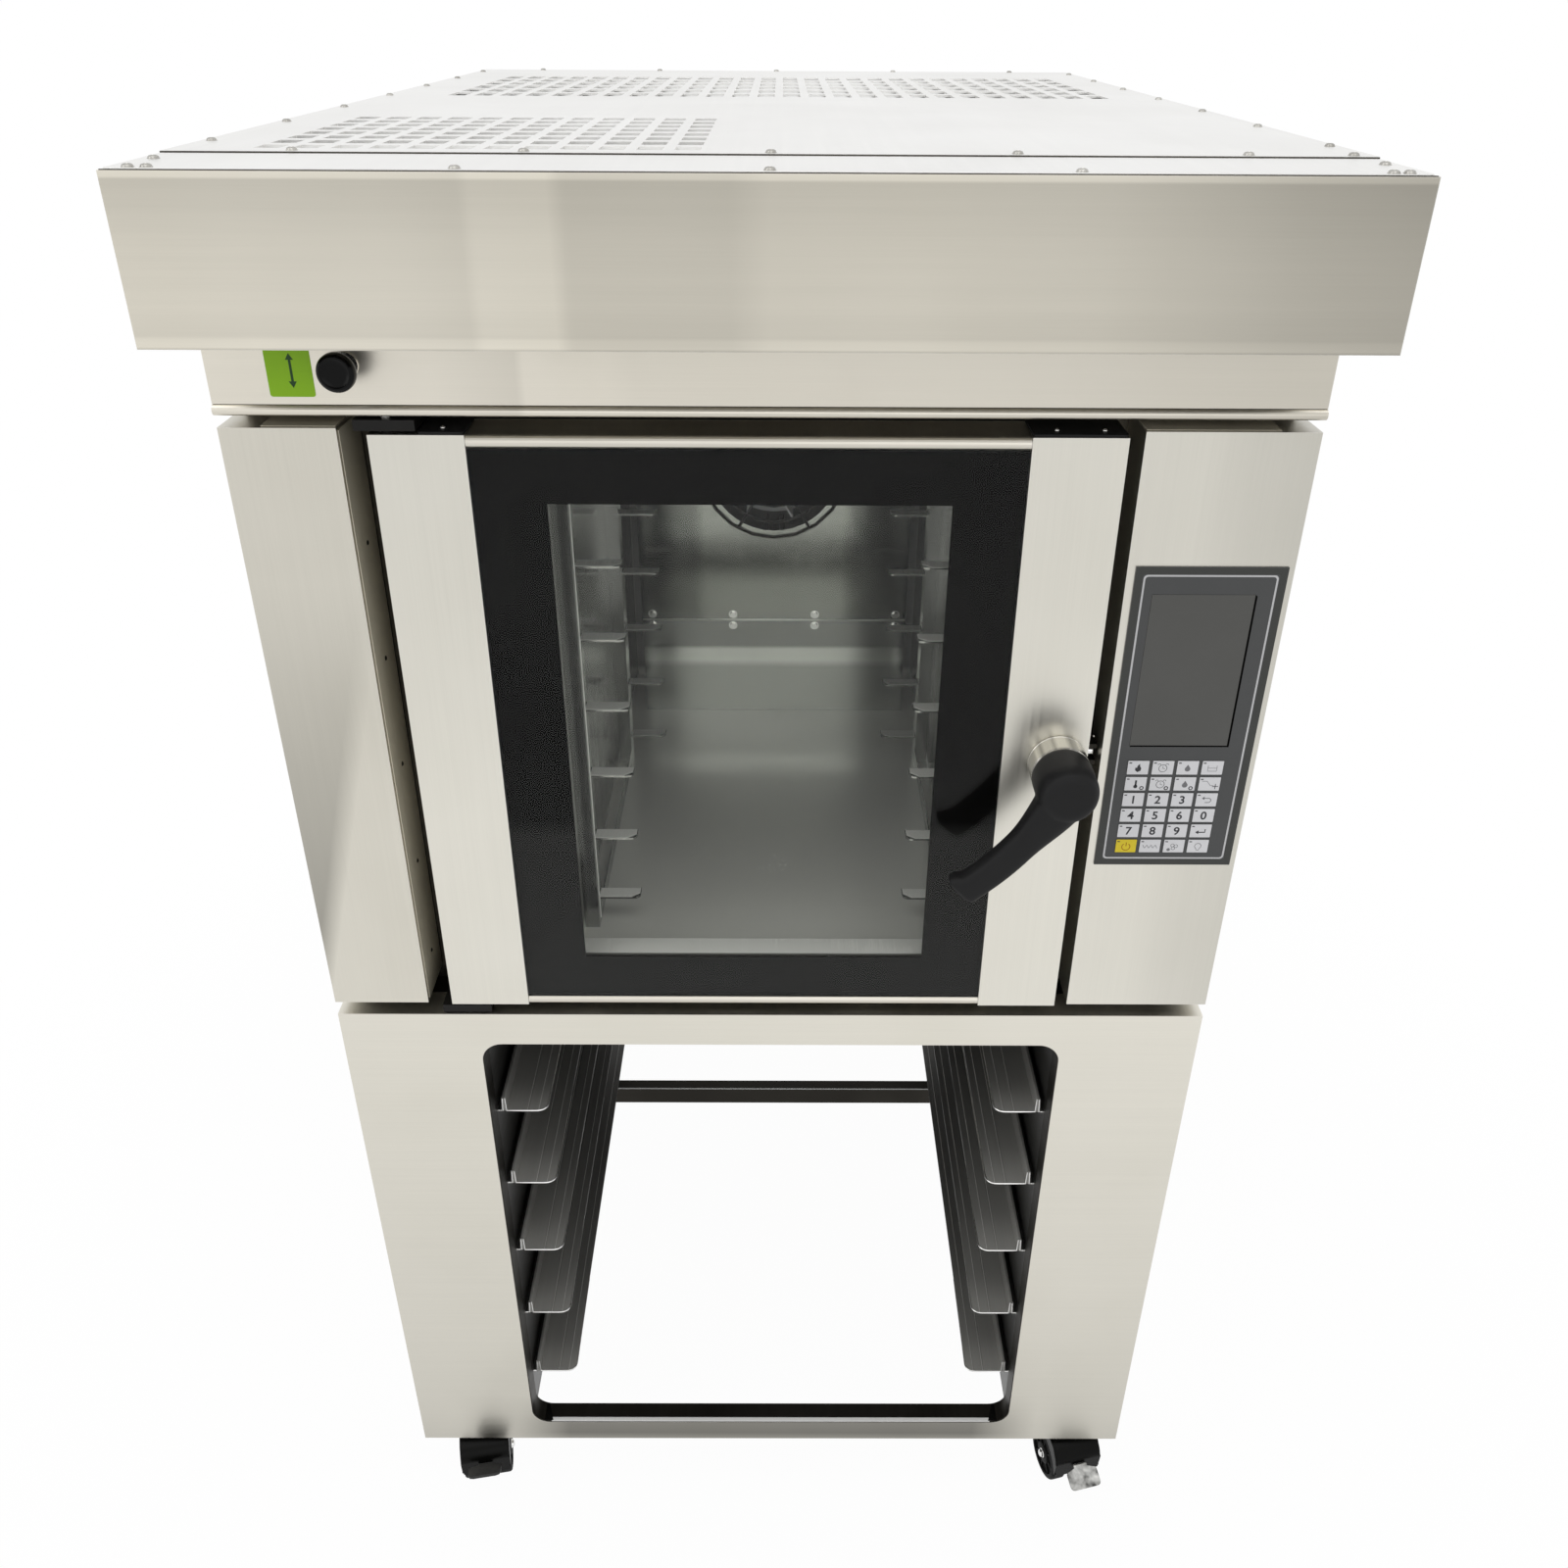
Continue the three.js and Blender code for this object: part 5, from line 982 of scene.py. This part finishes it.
def keypad():
    """The printed membrane: pale outline, dark border, screen shadow, and 24 keys with their marks."""
    sheet = front_sheet(*KEYPAD)

    def corner(column, row):
        return FIRST_KEY[0] + KEY_PITCH[0] * column, FIRST_KEY[1] + KEY_PITCH[1] * row

    def key(spot):
        left, foot = corner(*spot)
        outline = rounded(left + 0.2, foot + 0.2, left + KEY_SIZE[0], foot + KEY_SIZE[1], 0.6, 3)
        return prism, outline, 0.25, sheet @ raised(0.6), 0.1

    def middle(spot):
        left, foot = corner(*spot)
        return sheet @ Matrix.Translation((left + 11.15, foot + 7.6, 0.92))

    def signs(placed):
        return [(stroke, middle(spot), *line) for spot, sign in placed for line in SIGNS[sign]]

    border = plate_ring, rounded(0.3, 0.3, 145.7, 338.7, 0.5), rounded(7.5, 7, 138.5, 332, 2), 0.12, sheet
    outline = plate_ring, rounded(8.2, 7.8, 137.6, 331.2, 4), rounded(10, 9.6, 135.8, 329.4, 3), 0.2, sheet
    # Painted shadow along the screen's right and lower edges.
    shade = [(19, 144.4), (20, 145.9), (118.6, 145.9), (118.6, 311), (120.6, 309.6), (120.6, 144.4)]
    for name, ink, shapes, smooth in (
            ("keypad_border", FOIL_EDGE, [border], 35), ("keypad_outline", INK_SILVER, [outline], 35),
            ("screen_shadow", MASK, [(prism, shade, 0.14, sheet)], 35),
            ("keypad_keys", INK_WHITE, [key(spot) for spot in KEY_SPOTS if spot != POWER_KEY], 35),
            ("keypad_power_key", INK_YELLOW, [key(POWER_KEY)], 35),
            ("keypad_signs", INK_GREY, signs(DARK_SIGNS), 0),
            ("keypad_pale_signs", INK_FAINT, signs(PALE_SIGNS), 0),
            ("keypad_power_sign", INK_AMBER, signs([(POWER_KEY, "power")]), 0)):
        piece(name, ink, shapes, (), smooth)
    for row, digits in DIGITS:
        for column, digit in enumerate(digits):
            text = bpy.data.curves.new("digit_" + digit, "FONT")
            text.body, text.size, text.offset = digit, DIGIT_SIZE, DIGIT_BOLDNESS
            text.align_x = text.align_y = "CENTER"
            text.materials.append(INK_GREY)
            figure = scene_object("key_digit_" + digit, text)
            matrix = middle((column, row))
            matrix.translation *= MILLIMETRE
            figure.matrix_world = matrix
            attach(figure, "cabinet")


# ==================== chamber and outer panels
def baffle_bolts():
    """Bolts along the joint of the two baffles, and a painted highlight along the joint."""
    spots = [(x, 39.6, z) for x in (-184, -62, 62, 184) for z in (1098, 1080)]
    bolts = [(hex_bolt, spot, TOWARD, 8.0, 4.0, spot[0]) for spot in spots]
    piece("baffle_bolts", CHROME, bolts)
    piece("baffle_joint_highlight", EDGE_HIGHLIGHT, [(block, (-199, 38.8, 1087.4), (199, 39.5, 1090.2), 0.2)])


def lit_tray_lug_tops():
    """Painted light on the tops of the tray lugs, and a painted highlight on the front edge of each rack's
    post.
    """
    tops, edges = [], []
    for side in SIDES:
        for z in LUG_TOPS:
            for y in (-531.5, -122.5):
                outline = ((206, y), (168, y), (158, y + 8), (158, y + 18.6), (206, y + 18.6))
                outline = [(side * x, y) for x, y in outline]
                tops.append((prism, outline[::-side], 0.5, raised(z), 0.2))
        edges.append((tube, [(side * 206, -532.6, 946), (side * 206, -532.6, 1500)], 0.8, 8))
    piece("lit_tray_lug_tops", PAINTED_LIGHT, tops)
    piece("tray_post_highlights", PAINTED_LIGHT, edges)


def lit_mouth_sill():
    """Sills painted with light at the foot of the window: under the oven's mouth, and in the door's own
    frame.
    """
    piece("lit_mouth_sill", PAINTED_LIGHT, [(block, (-224, -581.4, 911), (224, -580.1, 934), 0.4)])
    strip = (block, (-218, -621.5, 960.1), (179, -594, 960.7), 0.1)
    piece("lit_window_foot_strip", PAINTED_LIGHT, [strip], body="door")


def panel_screws():
    """Rows of screws sunk level with the side and rear panels: the heads, and painted shade for their cross
    recesses.
    """
    spots = []
    for side in SIDES:
        places = [(y, z) for y in (-540, -250, 60, 370, 720) for z in (930, 1772)]
        places += [(y, 870) for y in (-560, -160, 240, 640)]
        spots += [((side * SIDE_FACE, y, z), (side, 0, 0)) for y, z in places]
    places = [(x, z) for x in (-470, -235, 0, 235, 470) for z in (930, 1772)]
    places += [(x, z) for x in (-470, 470) for z in (1140, 1350, 1560)]
    spots += [((x, REAR_FACE, z), (0, 1, 0)) for x, z in places]
    matrices = [facing(point, direction, index * 0.7) for index, (point, direction) in enumerate(spots)]
    head = [(0, 0), (4.8, 0), (4.6, 0.12), (0, 0.12)]
    piece("panel_screws", SCREW, [(lathe, head, matrix, 24) for matrix in matrices])
    slot = rounded(-2.4, -0.55, 2.4, 0.55, 0.3, 2)
    cross = [turned(0) @ raised(0.1), turned(90) @ raised(0.1157)]
    recess_shades = [(prism, slot, 0.05, matrix @ turn) for matrix in matrices for turn in cross]
    piece("panel_screw_recess_shade", SHADED_STEEL, recess_shades)


for make_pieces in (lid, canopy_trim, handle, door_trim, column_returns, runner_edges, bay_trim, castors,
                    damper, keypad, baffle_bolts, lit_tray_lug_tops, lit_mouth_sill, panel_screws):
    make_pieces()


# ==================== studio
def light_panel(name, size, spot, target, watts):
    lamp = bpy.data.lights.new(name, "AREA")
    lamp.shape, lamp.size, lamp.size_y, lamp.energy = "RECTANGLE", size[0], size[1], watts
    holder = scene_object(name, lamp)
    holder.location = spot
    holder.rotation_mode = "QUATERNION"
    holder.rotation_quaternion = (Vector(target) - Vector(spot)).to_track_quat("-Z", "Y")


light_panel("overhead_light", (4.0, 3.0), (0.0, -1.2, 4.6), (0, 0, 0.9), 46)
light_panel("left_light", (2.2, 3.0), (-3.4, -2.6, 2.4), (0, 0, 1.0), 20)
light_panel("front_light", (3.0, 2.0), (0.6, -4.6, 2.6), (0, 0, 1.0), 12)


def eye_rays(n):
    """1 for what the camera sees, straight, in a reflection or through glass, and 0 for light itself."""
    path = n.add("ShaderNodeLightPath").outputs
    mirrored = n.math("MAXIMUM", path["Is Camera Ray"], path["Is Glossy Ray"])
    return n.math("MAXIMUM", mirrored, path["Is Transmission Ray"])


def studio_air():
    """White all round to the eye, and weaker as a light."""
    world = bpy.data.worlds.new("studio_air")
    SCENE.world = world
    world.use_nodes = True
    n = Nodes(world.node_tree)
    strength = n.remap(eye_rays(n), 0, 1, 0.55, 1.0)
    n.set(world.node_tree.nodes["Background"], Color=(1, 1, 1), Strength=strength)


def studio_floor():
    """Pale floor: white to the eye and in reflections, with part of its own shade kept for the shadow."""
    ground = bmesh.new()
    bmesh.ops.create_grid(ground, x_segments=1, y_segments=1, size=14.0)
    floor = mesh_object("studio_floor", ground)
    floor.location = (0, 0, -0.0004)
    material, n, shader, place = start_material("floor_white", specular=0.1)
    n.set(shader, Base_Color=(0.86, 0.86, 0.86), Roughness=0.9)
    glow = n.add("ShaderNodeEmission", Color=(1, 1, 1), Strength=1.0).outputs[0]
    distance = n.row("ShaderNodeVectorMath", {"operation": "LENGTH"}, place)["Value"]
    share = n.remap(distance, 0.8, 1.8, 0.972, 1.0)
    n.end_in(n.times(eye_rays(n), share), shader.outputs[0], glow)
    floor.data.materials.append(material)


studio_air()
studio_floor()

# -------------------- camera
eye_data = bpy.data.cameras.new("front_camera")
eye_data.sensor_width, eye_data.lens = 36.0, 31.07
eye = scene_object("front_camera", eye_data)
yaw, pitch, roll = -0.0045, 0.5272, -0.0057
turn = Matrix.Rotation(yaw, 3, "Z") @ Matrix.Rotation(-pitch, 3, "X") @ Matrix.Rotation(roll, 3, "Y")
right, ahead, up = turn.col[0], turn.col[1], turn.col[2]
EYE_PLACE = (0.0082, -1.8677, 1.9090)
eye.matrix_world = Matrix.Translation(EYE_PLACE) @ Matrix((right, up, -ahead)).transposed().to_4x4()
SCENE.camera = eye

SCENE.view_settings.view_transform = "Standard"
